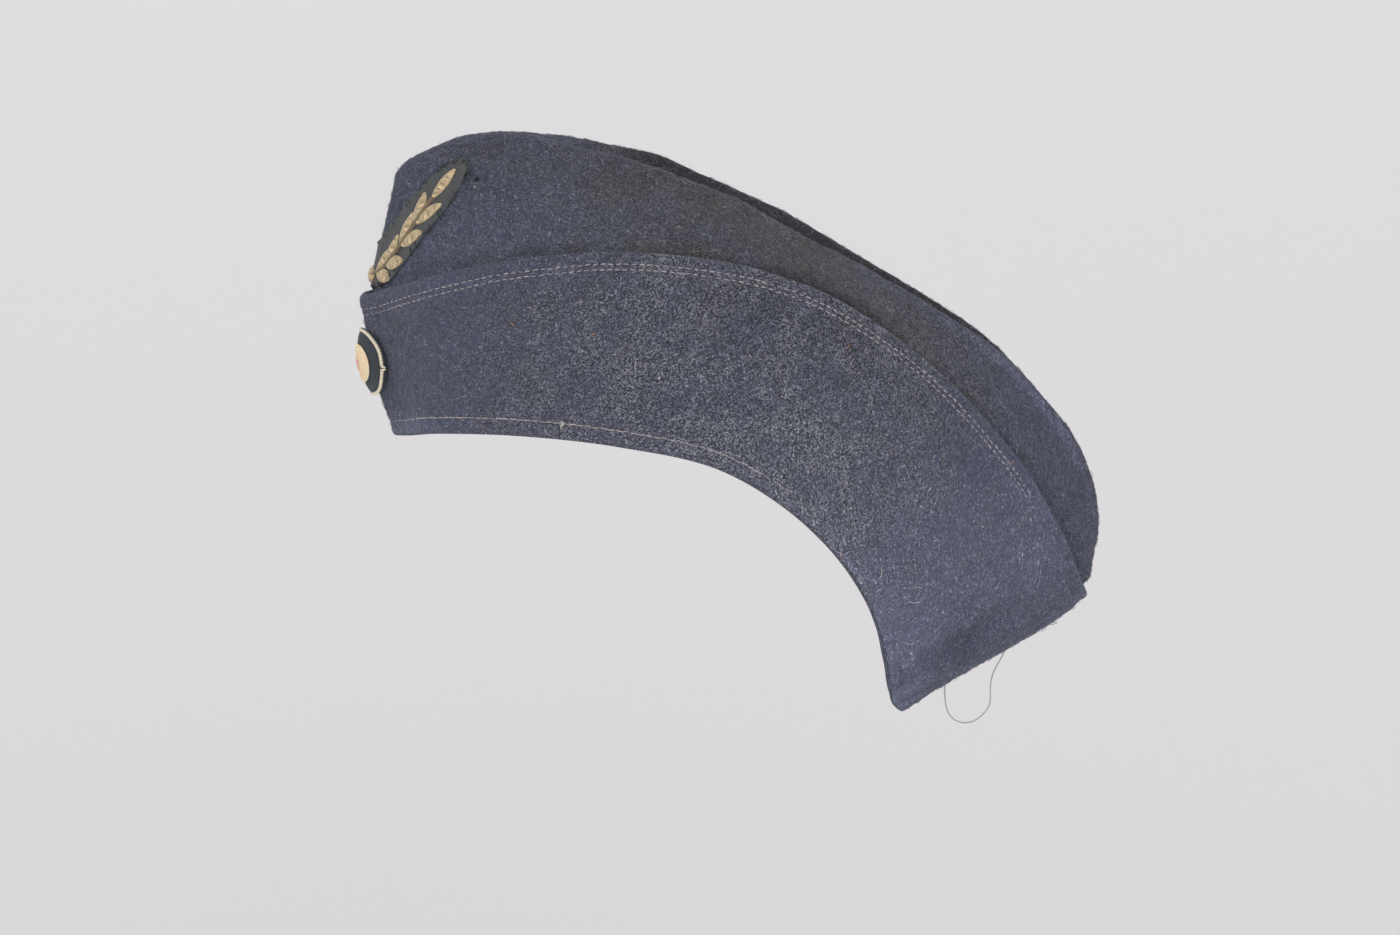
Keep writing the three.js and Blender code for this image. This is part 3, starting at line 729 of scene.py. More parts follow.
def ranged(tree, value, low, high, to_low=0.0, to_high=1.0, slope="SMOOTHSTEP"):
    """Output of a Map Range node, smooth if nothing else is asked for."""
    made = node(tree, "MapRange", {"Value": value, "From Min": low, "From Max": high,
                                   "To Min": to_low, "To Max": to_high}, interpolation_type=slope)
    return made.outputs[0]


def cloth_place(tree):
    """The cloth's own coordinates."""
    return node(tree, "UVMap", uv_map="cloth").outputs[0]


def tone_value(tree):
    """The tone attribute of a piece."""
    return node(tree, "Attribute", attribute_name="tone").outputs["Fac"]


def flat_noise(tree, place, size, detail=0.0, roughness=0.6):
    """Noise on the cloth's coordinates with features of a given size."""
    inputs = {"Vector": place, "Scale": 1 / size, "Detail": detail, "Roughness": roughness}
    return node(tree, "TexNoise", inputs, noise_dimensions="2D").outputs[0]


def body_noise(tree, scale, detail, roughness):
    """Noise on the object's own coordinates."""
    body = node(tree, "TexCoord").outputs["Object"]
    inputs = {"Vector": body, "Scale": scale, "Detail": detail, "Roughness": roughness}
    return node(tree, "TexNoise", inputs).outputs[0]


def cells(tree, place, size):
    """Scattered cells on the cloth: distance from a cell's point, and three numbers picked for each cell."""
    made = node(tree, "TexVoronoi", {"Vector": place, "Scale": 1 / size}, voronoi_dimensions="2D")
    return made.outputs["Distance"], node(tree, "SeparateColor", {0: made.outputs["Color"]}).outputs


def new_group(name, inputs, outputs):
    """An empty shader group with named sockets; returns its tree, its input and its output sockets."""
    tree = bpy.data.node_groups.new(name, "ShaderNodeTree")
    for label, kind in inputs:
        tree.interface.new_socket(label, in_out="INPUT", socket_type="NodeSocket" + kind)
    for label, kind in outputs:
        tree.interface.new_socket(label, in_out="OUTPUT", socket_type="NodeSocket" + kind)
    return tree, tree.nodes.new("NodeGroupInput").outputs, tree.nodes.new("NodeGroupOutput").inputs


def fibre_lines(tree, place, cell, length, width, shift):
    """Thin lines in patches that each run their own way and have their own lightness.

    They are the middle heights of a noise stretched along a direction picked by cell.
    """
    moved = vector_sums(tree, "ADD", place, (MM * shift[0], MM * shift[1], 0.0))
    pick = cells(tree, moved, cell * MM)[1]
    angle = sums(tree, "MULTIPLY", pick[0], 2 * math.pi)
    turned = node(tree, "VectorRotate", {"Vector": moved, "Angle": angle}, rotation_type="Z_AXIS").outputs[0]
    drawn = vector_sums(tree, "MULTIPLY", turned, (1 / (length * MM), 1 / (width * MM), 0.0))
    away = sums(tree, "ABSOLUTE", sums(tree, "SUBTRACT", flat_noise(tree, drawn, 1.0), 0.5))
    lit = ranged(tree, pick[1], 0.0, 1.0, STROKE_DULLEST, 1.0, "LINEAR")
    return sums(tree, "MULTIPLY", ranged(tree, away, 0.0, STROKE_REACH, 1.0, 0.0, "LINEAR"), lit)


def cloth_wear(tree, flat):
    """How bare the cloth is worn along the cap: 0 at the front and the back, 1 in the middle."""
    run = sums(tree, "ABSOLUTE", node(tree, "SeparateXYZ", {0: flat}).outputs[0])
    return sums(tree, "MULTIPLY", ranged(tree, run, *WEAR_START), ranged(tree, run, *WEAR_END, 1.0, 0.0))


def flecks(tree, place):
    """Stray fibres as small round flecks in some of the cells: how far they cover, and their colour."""
    distance, pick = cells(tree, place, FLECK_SPACING)
    chosen = sums(tree, "GREATER_THAN", pick[0], FLECK_RARITY)
    reach = ranged(tree, pick[2], 0.0, 1.0, *FLECK_REACH)
    near = ranged(tree, sums(tree, "DIVIDE", distance, reach), 1.0, 0.5)
    cover = sums(tree, "MULTIPLY", sums(tree, "MULTIPLY", chosen, near), FLECK_COVER)
    return cover, mixed(tree, pick[1], opaque(FLECK_BROWN), opaque(FLECK_PALE))


def wool_nap_group():
    """Felted wool: layers of curled strokes, a sharp grain where worn bare, slow patches and flecks."""
    colours = [(label, "Color") for label in ("Deep", "Base", "Light", "Cool", "Warm")]
    values = [(label, "Float") for label in ("Grain", "Contrast", "Patches")]
    tree, given, result = new_group("Wool nap", colours + values, [("Color", "Color"), ("Height", "Float")])
    flat = cloth_place(tree)
    inputs = {"Vector": flat, "Scale": 1 / SWIRL_SIZE, "Detail": 0.0}
    swirl = node(tree, "TexNoise", inputs, noise_dimensions="2D").outputs["Color"]
    pull = vector_sums(tree, "SUBTRACT", swirl, (0.5, 0.5, 0.5))
    pull = node(tree, "VectorMath", {0: pull, "Scale": SWIRL_PULL}, operation="SCALE").outputs[0]
    place = vector_sums(tree, "ADD", flat, pull)
    coarse, middle, fine = (fibre_lines(tree, place, *layer) for layer in NAP_STROKES)
    strokes = sums(tree, "ADD", coarse, sums(tree, "ADD", middle, fine))
    strokes = sums(tree, "SUBTRACT", strokes, STROKE_MEAN)
    napped = ranged(tree, flat_noise(tree, flat, NAPPED_SIZE, 2.0), 0.36, 0.64)
    worn = cloth_wear(tree, flat)
    speck = cells(tree, flat, SPECK_SIZE)[1][0]
    bare = sums(tree, "MULTIPLY", given["Grain"], worn)
    bare = sums(tree, "MULTIPLY", bare, ranged(tree, napped, 0.0, 1.0, 1.3, 0.7))
    grain = sums(tree, "MULTIPLY", sums(tree, "SUBTRACT", speck, 0.5), bare)
    patchy = sums(tree, "SUBTRACT", flat_noise(tree, flat, PATCH_SIZE, 3.0), 0.5)
    shown = sums(tree, "MULTIPLY", given["Contrast"], ranged(tree, worn, 0.0, 1.0, 0.72, 1.0))
    tone = sums(tree, "MULTIPLY_ADD", strokes, shown, sums(tree, "ADD", grain, MIDDLE_TONE))
    tone = clamped(tree, sums(tree, "MULTIPLY_ADD", patchy, given["Patches"], tone))
    body = mixed(tree, ranged(tree, tone, 0.0, 0.5, slope="LINEAR"), given["Deep"], given["Base"])
    body = mixed(tree, ranged(tree, tone, 0.5, 1.0, slope="LINEAR"), body, given["Light"])
    cool = sums(tree, "MULTIPLY_ADD", napped, 0.5, ranged(tree, worn, 0.0, 1.0, 0.7, 0.0))
    body = multiplied(tree, body, mixed(tree, clamped(tree, cool), given["Warm"], given["Cool"]))
    cover, fleck = flecks(tree, place)
    tree.links.new(mixed(tree, cover, body, fleck), result["Color"])
    tree.links.new(tone, result["Height"])
    return tree


def soil_and_light_group():
    """Tints a colour for soiling, stains and painted shade where the tone attribute is above 0, deepens it
    to painted shade where far above, and lightens it to painted light where below.

    The tint is broken up by clouds.
    """
    tree, given, result = new_group(
        "Soil and painted light", [("Color", "Color"), ("Tint colour", "Color"), ("Amount", "Float")], [("Color", "Color")])
    spread = tone_value(tree)
    clouds = ranged(tree, body_noise(tree, TINT_CLOUDS, 5.0, 0.62), 0.2, 0.75)
    mask = sums(tree, "MULTIPLY", sums(tree, "MULTIPLY", spread, clouds), given["Amount"])
    tinted = multiplied(tree, given["Color"], given["Tint colour"])
    soiled_and_shaded = mixed(tree, clamped(tree, mask), given["Color"], tinted)
    # Deeper painted shade where the tone is far above 1: in the valley and under the flap's top edge
    deep_shaded = multiplied(tree, soiled_and_shaded, opaque(PAINTED_DEEP_SHADE_TINT))
    soiled_and_shaded = mixed(tree, ranged(tree, spread, 1.5, 3.0), soiled_and_shaded, deep_shaded)
    # Painted light where the tone is below 0, mostly along the rim and the ridge
    painted_light = multiplied(tree, soiled_and_shaded, opaque([PAINTED_LIGHT_GAIN] * 3))
    painted_light_share = clamped(tree, sums(tree, "MULTIPLY", spread, -1.0))
    tree.links.new(mixed(tree, painted_light_share, soiled_and_shaded, painted_light), result["Color"])
    return tree


def twist_group():
    """Plied thread: slanting strands round a tube, from its length and the way round it, with painted shade
    between the strands.
    """
    tree, given, result = new_group(
        "Plied twist", [("Pitch", "Float")], [("Shade", "Float"), ("Height", "Float")])
    run, way_round = node(tree, "SeparateXYZ", {0: cloth_place(tree)}).outputs[:2]
    turns = sums(tree, "ADD", sums(tree, "DIVIDE", run, given["Pitch"]), way_round)
    ply = sums(tree, "ABSOLUTE", sums(tree, "SINE", sums(tree, "MULTIPLY", turns, 2 * math.pi)))
    tree.links.new(ranged(tree, ply, 0.0, 0.8, 0.55, 1.0), result["Shade"])
    tree.links.new(ply, result["Height"])
    return tree


def felt_group():
    """Fine felt: small clouds and specks on the object's own coordinates."""
    tree, given, result = new_group(
        "Felt grain", [("Color", "Color"), ("Grain", "Float")], [("Color", "Color"), ("Height", "Float")])
    grain = body_noise(tree, sums(tree, "DIVIDE", 1.0, given["Grain"]), 4.0, 0.65)
    tree.links.new(toned(tree, given["Color"], ranged(tree, grain, 0.25, 0.75, 0.55, 1.4)), result["Color"])
    tree.links.new(grain, result["Height"])
    return tree


GROUP_MAKERS = {"nap": wool_nap_group, "tinting": soil_and_light_group, "twist": twist_group, "felt": felt_group}
GROUPS = {}


def placed(tree, name, inputs):
    """Outputs of a shader group placed in a material; the group is made the first time it is asked for."""
    if name not in GROUPS:
        GROUPS[name] = GROUP_MAKERS[name]()
    return node(tree, "Group", inputs, node_tree=GROUPS[name]).outputs


def opaque(colour):
    """A colour with full cover."""
    return (*colour, 1.0)


def shaded(colour, share):
    """A colour made lighter or darker."""
    return tuple(share * c for c in colour)


def new_material(name, roughness, sheen):
    """A material with a cloth shader; returns it, its tree and the shader."""
    material = bpy.data.materials.new(name)
    material.use_nodes = True
    shader = material.node_tree.nodes["Principled BSDF"]
    shader.inputs["Roughness"].default_value = roughness
    shader.inputs["Sheen Weight"].default_value = sheen
    shader.inputs["Sheen Roughness"].default_value = 0.5
    shader.inputs["Specular IOR Level"].default_value = 0.25
    return material, material.node_tree, shader


def dressed(tree, shader, colour, height=None, bump=0.0):
    """Feeds a colour, and a bump where a height is given, into the shader."""
    tree.links.new(colour, shader.inputs["Base Color"])
    if height:
        relief = node(tree, "Bump", {"Height": height, "Distance": bump, "Strength": 1.0})
        tree.links.new(relief.outputs[0], shader.inputs["Normal"])


def wool_material(name, colours, tinting, nap_values, hole=None):
    """Napped wool cloth with soiling, painted shade and painted light, and where asked a worn hole painted
    as a near-black spot of shade. Colours: deep, base, light, cool and warm tint.
    """
    material, tree, shader = new_material(name, roughness=0.95, sheen=0.10)
    names = ("Deep", "Base", "Light", "Cool", "Warm")
    looks = {label: opaque(colour) for label, colour in zip(names, colours)}
    nap = placed(tree, "nap", {**looks, **nap_values})
    body = placed(tree, "tinting", {"Color": nap["Color"], "Tint colour": opaque(tinting), "Amount": 1.0})["Color"]
    # The hole is a painted spot of shade, not a cut in the cloth
    if hole:
        flat = cloth_place(tree)
        away = node(tree, "VectorMath", {0: flat, 1: (*hole, 0.0)}, operation="DISTANCE").outputs["Value"]
        away = sums(tree, "MULTIPLY_ADD", flat_noise(tree, flat, HOLE_GRAIN, 2.0), HOLE_UNEVEN, away)
        body = mixed(tree, ranged(tree, away, *HOLE_BORDER), opaque(HOLE_SHADE_COLOUR), body)
    dressed(tree, shader, body, nap["Height"], NAP_BUMP)
    return material


def thread_material(name, colour, pitch):
    """Plied thread, with painted shade between its strands."""
    material, tree, shader = new_material(name, roughness=0.7, sheen=0.2)
    ply = placed(tree, "twist", {"Pitch": pitch})
    shade = sums(tree, "MULTIPLY", ply["Shade"], ranged(tree, tone_value(tree), 0.0, 1.0, 0.75, 1.15))
    dressed(tree, shader, toned(tree, opaque(colour), shade), ply["Height"], 0.08 * MM)
    return material


def felt_material(name, colour, grain, bump, tinting=None, amount=1.0):
    """Felted or wound cloth with a fine grain, soiled where its tone attribute says so."""
    material, tree, shader = new_material(name, roughness=0.9, sheen=0.15)
    felt = placed(tree, "felt", {"Color": opaque(colour), "Grain": grain})
    tint = felt["Color"]
    if tinting:
        tint = placed(tree, "tinting", {"Color": tint, "Tint colour": opaque(tinting), "Amount": amount})["Color"]
    dressed(tree, shader, tint, felt["Height"], bump)
    return material


def satin_material(name, colour):
    """Satin embroidery: fine threads side by side, with painted shade between the ribs."""
    material, tree, shader = new_material(name, roughness=0.6, sheen=0.25)
    flat = cloth_place(tree)
    threads = vector_sums(tree, "MULTIPLY", flat, (1 / (0.32 * MM), 1 / (3 * MM), 0.0))
    strands = flat_noise(tree, threads, 1.0, 1.0, 0.5)
    cloudy = ranged(tree, flat_noise(tree, flat, 2.5 * MM, 2.0), 0.3, 0.7, 0.8, 1.1)
    shade = sums(tree, "MULTIPLY", ranged(tree, strands, 0.3, 0.6, 0.5, 1.1), cloudy)
    shade = sums(tree, "MULTIPLY", shade, ranged(tree, tone_value(tree), 0.0, 0.55, 0.38, 1.0))
    dressed(tree, shader, toned(tree, opaque(colour), shade), strands, 0.1 * MM)
    return material


def fibre_material(name, dark, light, odd):
    """Single wool fibres from dark to light, with a few of another colour at the top of the tone's range."""
    material, tree, shader = new_material(name, roughness=0.8, sheen=0.2)
    tone = tone_value(tree)
    body = mixed(tree, ranged(tree, tone, 0.0, 0.9), opaque(dark), opaque(light))
    dressed(tree, shader, mixed(tree, ranged(tree, tone, 0.93, 1.0), body, opaque(odd)))
    return material


# Settings


def length_property(label, words, default):
    """A length that a user may change."""
    return bpy.props.FloatProperty(
        name=label, description=words, default=default, min=0.0, unit="LENGTH", precision=5)


def colour_property(label, words, default):
    """A colour that a user may change."""
    return bpy.props.FloatVectorProperty(
        name=label, description=words, default=default, min=0.0, max=1.0, size=3, subtype="COLOR")


class CapClothSettings(bpy.types.PropertyGroup):
    """Sizes and colours of the wool cloth."""

    crown_wall: length_property("Crown wall", "Thickness of the crown's cloth", 2.0 * MM)
    flap_wall: length_property("Flap wall", "Thickness of the doubled flap", 2.6 * MM)
    seam_depth: length_property("Seam depth", "How deep the cloth is drawn into a seam", 0.8 * MM)
    channel_depth: length_property("Channel depth", "How deep stitches draw the cloth in", 0.32 * MM)
    crown_deep: colour_property("Crown deep", "Gaps between the crown's fibres", (0.046, 0.050, 0.076))
    crown_colour: colour_property("Crown colour", "Wool of the crown", (0.087, 0.094, 0.144))
    crown_light: colour_property("Crown light", "Raised fibres of the crown", (0.214, 0.222, 0.297))
    flap_deep: colour_property("Flap deep", "Gaps between the flap's fibres", (0.040, 0.043, 0.064))
    flap_colour: colour_property("Flap colour", "Wool of the flap", (0.092, 0.098, 0.150))
    flap_light: colour_property("Flap light", "Raised fibres of the flap", (0.310, 0.320, 0.405))
    cool_tint: colour_property("Cool tint", "Tint of the bluer, napped patches", (0.90, 0.95, 1.0))
    warm_tint: colour_property("Warm tint", "Tint of the worn patches", (0.98, 0.975, 0.895))
    # This tint colours the crown's soiling and also its painted shade under the flap's edge and in the
    # valley
    crown_soil_and_shade_tint: colour_property("Crown soil and shade tint", "Tint of brownish soiling on the crown", (0.82, 0.73, 0.62))
    # The flap's darker places, in this tint, are mostly painted shade in its dents and under its top edge
    painted_shade_tint: colour_property("Painted shade tint", "Tint of the flap's darker places", (0.66, 0.65, 0.66))
    fibre_length: length_property("Fibre length", "Length of a raised wool fibre", 3.4 * MM)
    fibre_thickness: length_property("Fibre thickness", "Thickness of a raised wool fibre", 0.14 * MM)
    flap_fibres: bpy.props.IntProperty(
        name="Flap fibres", description="Raised fibres on a flap half", default=5000)
    crown_fibres: bpy.props.IntProperty(
        name="Crown fibres", description="Raised fibres on a crown panel", default=3500)


class CapTrimSettings(bpy.types.PropertyGroup):
    """Sizes and colours of stitching, badge, cockade and thread."""

    stitch_pitch: length_property("Stitch pitch", "From one stitch to the next", 2.7 * MM)
    top_cover: bpy.props.FloatProperty(
        name="Top cover", description="Share of its pitch that a stitch in a top row covers", default=0.70)
    rim_cover: bpy.props.FloatProperty(
        name="Rim cover", description="Share of its pitch that a stitch in the rim row covers", default=1.1)
    stitch_thickness: length_property("Stitch thickness", "Thickness of the sewing thread", 0.40 * MM)
    stitch_colour: colour_property("Stitch colour", "Machine stitching", (0.56, 0.49, 0.48))
    patch_colour: colour_property("Patch colour", "Cloth under the embroidery", (0.082, 0.086, 0.090))
    leaf_colour: colour_property("Leaf colour", "Embroidery thread", (0.62, 0.48, 0.29))
    tack_colour: colour_property("Tack colour", "Hand stitches round the patch", (0.020, 0.026, 0.032))
    cockade_dark: colour_property("Cockade dark", "Dark ring of the cockade", (0.038, 0.046, 0.056))
    cockade_cream: colour_property("Cockade cream", "Cream disc of the cockade", (0.84, 0.72, 0.50))
    cockade_stain: colour_property("Cockade stain", "Tint round the cockade's centre", (0.92, 0.68, 0.42))
    cockade_red: colour_property("Cockade red", "Tint of the cockade's centre", (0.70, 0.12, 0.24))
    cord_colour: colour_property("Cord colour", "Cord round the cockade", (0.93, 0.82, 0.63))
    thread_colour: colour_property("Thread colour", "Loose thread", (0.60, 0.66, 0.70))
    thread_thickness: length_property("Thread thickness", "Thickness of the loose thread", 0.55 * MM)


class CapStageSettings(bpy.types.PropertyGroup):
    """Camera, floor and lights."""

    lens: bpy.props.FloatProperty(name="Lens", description="Focal length", default=85.0, unit="CAMERA")
    distance: length_property("Distance", "From the camera to the cap's middle plane", 1.2065)
    elevation: bpy.props.FloatProperty(
        name="Elevation", description="Camera over the horizon", default=math.radians(10), subtype="ANGLE")
    floor_height: bpy.props.FloatProperty(
        name="Floor height", description="Height of the floor", default=-0.24, unit="LENGTH")
    floor_colour: colour_property("Floor colour", "Pale floor", (0.855, 0.835, 0.842))
    sky: bpy.props.FloatProperty(name="Sky", description="Strength of the light from all round", default=1.7)
    key: bpy.props.FloatProperty(name="Key", description="Strength of the main light", default=0.5)
    back: bpy.props.FloatProperty(name="Back", description="Strength of the light from behind", default=0.3)


# Pieces


class CAP_OT_stage(bpy.types.Operator):
    """Makes the floor, the lights and the camera"""

    bl_idname = "side_cap.stage"
    bl_label = "Stage"

    def execute(self, context):
        settings = context.scene.cap_stage
        back = np.array([math.cos(settings.elevation), 0.0, math.sin(settings.elevation)])
        camera = bpy.data.cameras.new("camera")
        camera.lens = settings.lens
        camera.sensor_width = SENSOR_WIDTH
        camera.sensor_fit = "HORIZONTAL"
        seen = bpy.data.objects.new("camera", camera)
        seen.location = CAMERA_AIM + settings.distance * back
        seen.rotation_euler = (math.pi / 2 - settings.elevation, 0.0, math.pi / 2)
        context.scene.collection.objects.link(seen)
        context.scene.camera = seen
        self.floor(context, settings)
        self.lights(context, settings)
        return {"FINISHED"}

    def floor(self, context, settings):
        """A wide flat disc, in rings that grow outwards."""
        turn = np.arange(FLOOR_SIDES) * 2 * math.pi / FLOOR_SIDES
        ring = np.stack([np.cos(turn), np.sin(turn), 0 * turn], -1)
        points = FLOOR_RINGS[:, None, None] * ring + (0.0, 0.0, settings.floor_height)
        here = np.arange(FLOOR_SIDES)
        after = (here + 1) % FLOOR_SIDES
        inner = FLOOR_SIDES * np.arange(len(FLOOR_RINGS) - 1)[:, None]
        outer = inner + FLOOR_SIDES
        quads = np.stack([inner + here, outer + here, outer + after, inner + after], -1)
        mesh = bpy.data.meshes.new("floor")
        mesh.from_pydata(points.reshape(-1, 3).tolist(), [], [here.tolist(), *quads.reshape(-1, 4).tolist()])
        material, tree, shader = new_material("pale floor", roughness=0.9, sheen=0.0)
        shader.inputs["Base Color"].default_value = opaque(settings.floor_colour)
        mesh.materials.append(material)
        floor = bpy.data.objects.new("floor", mesh)
        context.scene.collection.objects.link(floor)

    def lights(self, context, settings):
        """An even pale sky, a broad main light from the cap's left and a weak one from behind it."""
        world = bpy.data.worlds.new("studio")
        world.use_nodes = True
        tree = world.node_tree
        way = node(tree, "SeparateXYZ", {0: node(tree, "TexCoord").outputs["Generated"]}).outputs[2]
        pale = mixed(tree, ranged(tree, way, *SKY_BLEND), opaque(HORIZON_COLOUR), opaque(ZENITH_COLOUR))
        tree.links.new(pale, tree.nodes["Background"].inputs[0])
        tree.nodes["Background"].inputs[1].default_value = settings.sky
        context.scene.world = world
        context.scene.view_settings.view_transform = "Standard"
        for name, place, strength in (("key", KEY_PLACE, settings.key), ("back", BACK_PLACE, settings.back)):
            light = bpy.data.lights.new(name, "SUN")
            light.energy = strength
            light.angle = LIGHT_SPREAD
            made = bpy.data.objects.new(name, light)
            made.rotation_euler = direction_turn(-np.array(place))
            context.scene.collection.objects.link(made)


def direction_turn(way):
    """Euler turn that points a light's -Z along a direction."""
    flat = math.hypot(way[0], way[1])
    return (math.atan2(flat, -way[2]), 0.0, math.atan2(way[1], way[0]) - math.pi / 2)


class CAP_OT_loose_thread(bpy.types.Operator):
    """Makes the loose thread that hangs in a loop under the back seam"""

    bl_idname = "side_cap.loose_thread"
    bl_label = "Loose thread"

    def execute(self, context):
        trim = context.scene.cap_trim
        route = MM * np.array(THREAD_ROUTE)
        line = smooth_line(route, 8)
        build = Build()
        radius = np.full((1, len(line)), trim.thread_thickness / 2)
        build.tubes(line[None], np.array([1.0, 0.0, 0.0]), radius, sides=8)
        material = thread_material("loose thread", trim.thread_colour, pitch=0.9 * MM)
        thread = build.piece("loose_thread", material, "badge_cloth", level_frame=False)
        length = float(run_lengths(line, 0)[-1])
        return {"FINISHED"}


def soil_shade_and_light_map(table, face):
    """Strength of the soiling, painted shade and painted light over a face's grid: the sum of the table's
    spots.
    """
    return sum(strength * spot(face.along, face.level, *place) for *place, strength in table)


class CAP_OT_crown(bpy.types.Operator):
    """Makes the two crown panels"""

    bl_idname = "side_cap.crown"
    bl_label = "Crown"

    def execute(self, context):
        cloth = context.scene.cap_cloth
        colours = (cloth.crown_deep, cloth.crown_colour, cloth.crown_light, cloth.cool_tint, cloth.warm_tint)
        for name, half in HALVES.items():
            rows, face = crown_panel(half, cloth.crown_wall, cloth.seam_depth)
            FACES[f"crown_{name}"] = face
            # Painted shade in the valley between the ridges, added to the crown's tint map
            valley_shade = fade_in(face.level, *VALLEY_SHADE_LEVEL)[:, None] * fade_in(face.along, *VALLEY_SHADE_ALONG)
            tinting = np.zeros(rows.shape[:2])
            tinting[:len(CROWN_LEVELS)] = soil_shade_and_light_map(CROWN_SOIL_SHADE_AND_LIGHT, face) + VALLEY_PAINTED_SHADE * valley_shade
            build = Build()
            places = build.band(rows, half < 0, tinting, half)
            row = np.argmin(np.abs(face.level - HOLE_LEVEL))
            column = np.argmin(np.abs(face.along - HOLE_ALONG))
            hole = [float(place[row, column]) for place in places] if half > 0 else None
            material = wool_material(f"crown wool {name}", colours, cloth.crown_soil_and_shade_tint, CROWN_NAP, hole)
            build.piece(f"crown_{name}_cloth", material, "wool_crown", [f"crown_{name}"])
        return {"FINISHED"}


class CAP_OT_flap(bpy.types.Operator):
    """Makes the two halves of the turned-up flap"""

    bl_idname = "side_cap.flap"
    bl_label = "Flap"

    def execute(self, context):
        cloth = context.scene.cap_cloth
        colours = (cloth.flap_deep, cloth.flap_colour, cloth.flap_light, cloth.cool_tint, cloth.warm_tint)
        material = wool_material("flap wool", colours, cloth.painted_shade_tint, FLAP_NAP)
        for name, half in HALVES.items():
            rows, face = flap_half(half, cloth.flap_wall, cloth.seam_depth, cloth.channel_depth)
            FACES[f"flap_{name}"] = face
            tinting = np.zeros(rows.shape[:2])
            tinting[:len(FLAP_LEVELS)] = soil_shade_and_light_map(FLAP_SOIL_SHADE_AND_LIGHT, face)
            build = Build()
            build.band(rows, half < 0, tinting, half)
            build.piece(f"flap_{name}_cloth", material, "wool_flap", [f"flap_{name}"])
        return {"FINISHED"}


def stitch_row(build, face, level_at, trim, rng, sink, cover):
    """Lays stitches along a row: each is a thin tube that rises from the cloth and dips back into it."""
    along = np.linspace(*ROW_ENDS, 900)
    run = run_lengths(face.at(along, level_at(along))[0], 0)
    middles = np.arange(trim.stitch_pitch / 2, run[-1], trim.stitch_pitch)
    count = len(middles)
    middles = middles + rng.normal(0, 0.10 * MM, count)
    lengths = cover * trim.stitch_pitch * rng.uniform(0.88, 1.08, count)
    steps = np.linspace(-1, 1, 7)
    places = np.interp(middles[:, None] + steps[None] * lengths[:, None] / 2, run, along)
    sway = rng.normal(0, 0.0012, count)[:, None] + rng.normal(0, 0.0016, count)[:, None] * steps
    sunk = sink[0] + fade_in(places, *sink[1:])
    height = trim.stitch_thickness * (0.55 * (1 - steps ** 4) - 0.35 - sunk)
    points, normals = face.at(places, level_at(places) + sway, height)
    taper = (1 - 0.45 * steps[None] ** 4) * rng.uniform(0.85, 1.1, count)[:, None]
    build.tubes(points, normals, trim.stitch_thickness / 2 * taper, sides=6, value=rng.uniform(0, 1, count))


class CAP_OT_stitching(bpy.types.Operator):
    """Sews the double row along the flap's top edge and the single row along its rim"""

    bl_idname = "side_cap.stitching"
    bl_label = "Stitching"

    def execute(self, context):
        trim = context.scene.cap_trim
        material = thread_material("machine thread", trim.stitch_colour, pitch=0.8 * MM)
        rng = np.random.default_rng(21)
        places = np.linspace(0, 1, COLUMNS)
        lengths = flap_length(places)
        build = Build()
        for name in HALVES:
            face = FACES[f"flap_{name}"]
            for row in TOP_ROWS:
                stitch_row(build, face, lambda a, d=row: 1 - d / np.interp(a, places, lengths), trim, rng,
                           TOP_SINK, trim.top_cover)
            stitch_row(build, face, lambda a: RIM_ROW / np.interp(a, places, lengths), trim, rng,
                       RIM_SINK, trim.rim_cover)
        build.piece("stitching", material, "cream_thread")
        return {"FINISHED"}


class Front:
    """The crown's front, measured across from its seam and up from the flap's top edge."""

    def __init__(self, wall):
        self.left, self.right = (crown_panel(half, wall, 0.0)[1] for half in HALVES.values())
        self.level = np.linspace(1, 2, FRONT_ROWS)
        along = np.linspace(0, BADGE_REACH, FRONT_COLUMNS)
        plain = crown_face(along, self.level)
        self.up = run_lengths(plain[:, 0], 0)
        lengths = run_lengths(plain, 1)
        self.across = np.linspace(0, lengths[:, -1].min(), FRONT_COLUMNS)
        self.along = np.stack([np.interp(self.across, row, along) for row in lengths])

    def at(self, across, up, height):
        """Points over the crown's front at a height, and its normals there."""
        across, up, height = np.broadcast_arrays(across, up, height)
        level = np.interp(up, self.up, self.level)
        row = np.interp(up, self.up, np.arange(FRONT_ROWS))
        column = np.interp(np.abs(across), self.across, np.arange(FRONT_COLUMNS))
        along = between(self.along, row, column)
        is_left = (across >= 0)[..., None]
        left, right = self.left.at(along, level, height), self.right.at(along, level, height)
        return np.where(is_left, left[0], right[0]), np.where(is_left, left[1], right[1])


def patch_border(place):
    """Across, lower and upper border of the badge's patch, from its right tip to its left tip."""
    both = np.concatenate([BACKING_OUTLINE[:0:-1] * (-1, 1, 1), BACKING_OUTLINE])
    line = smooth_line(both, 12)
    return np.stack([np.interp(place, np.linspace(0, 1, len(line)), line[:, k]) for k in range(3)])


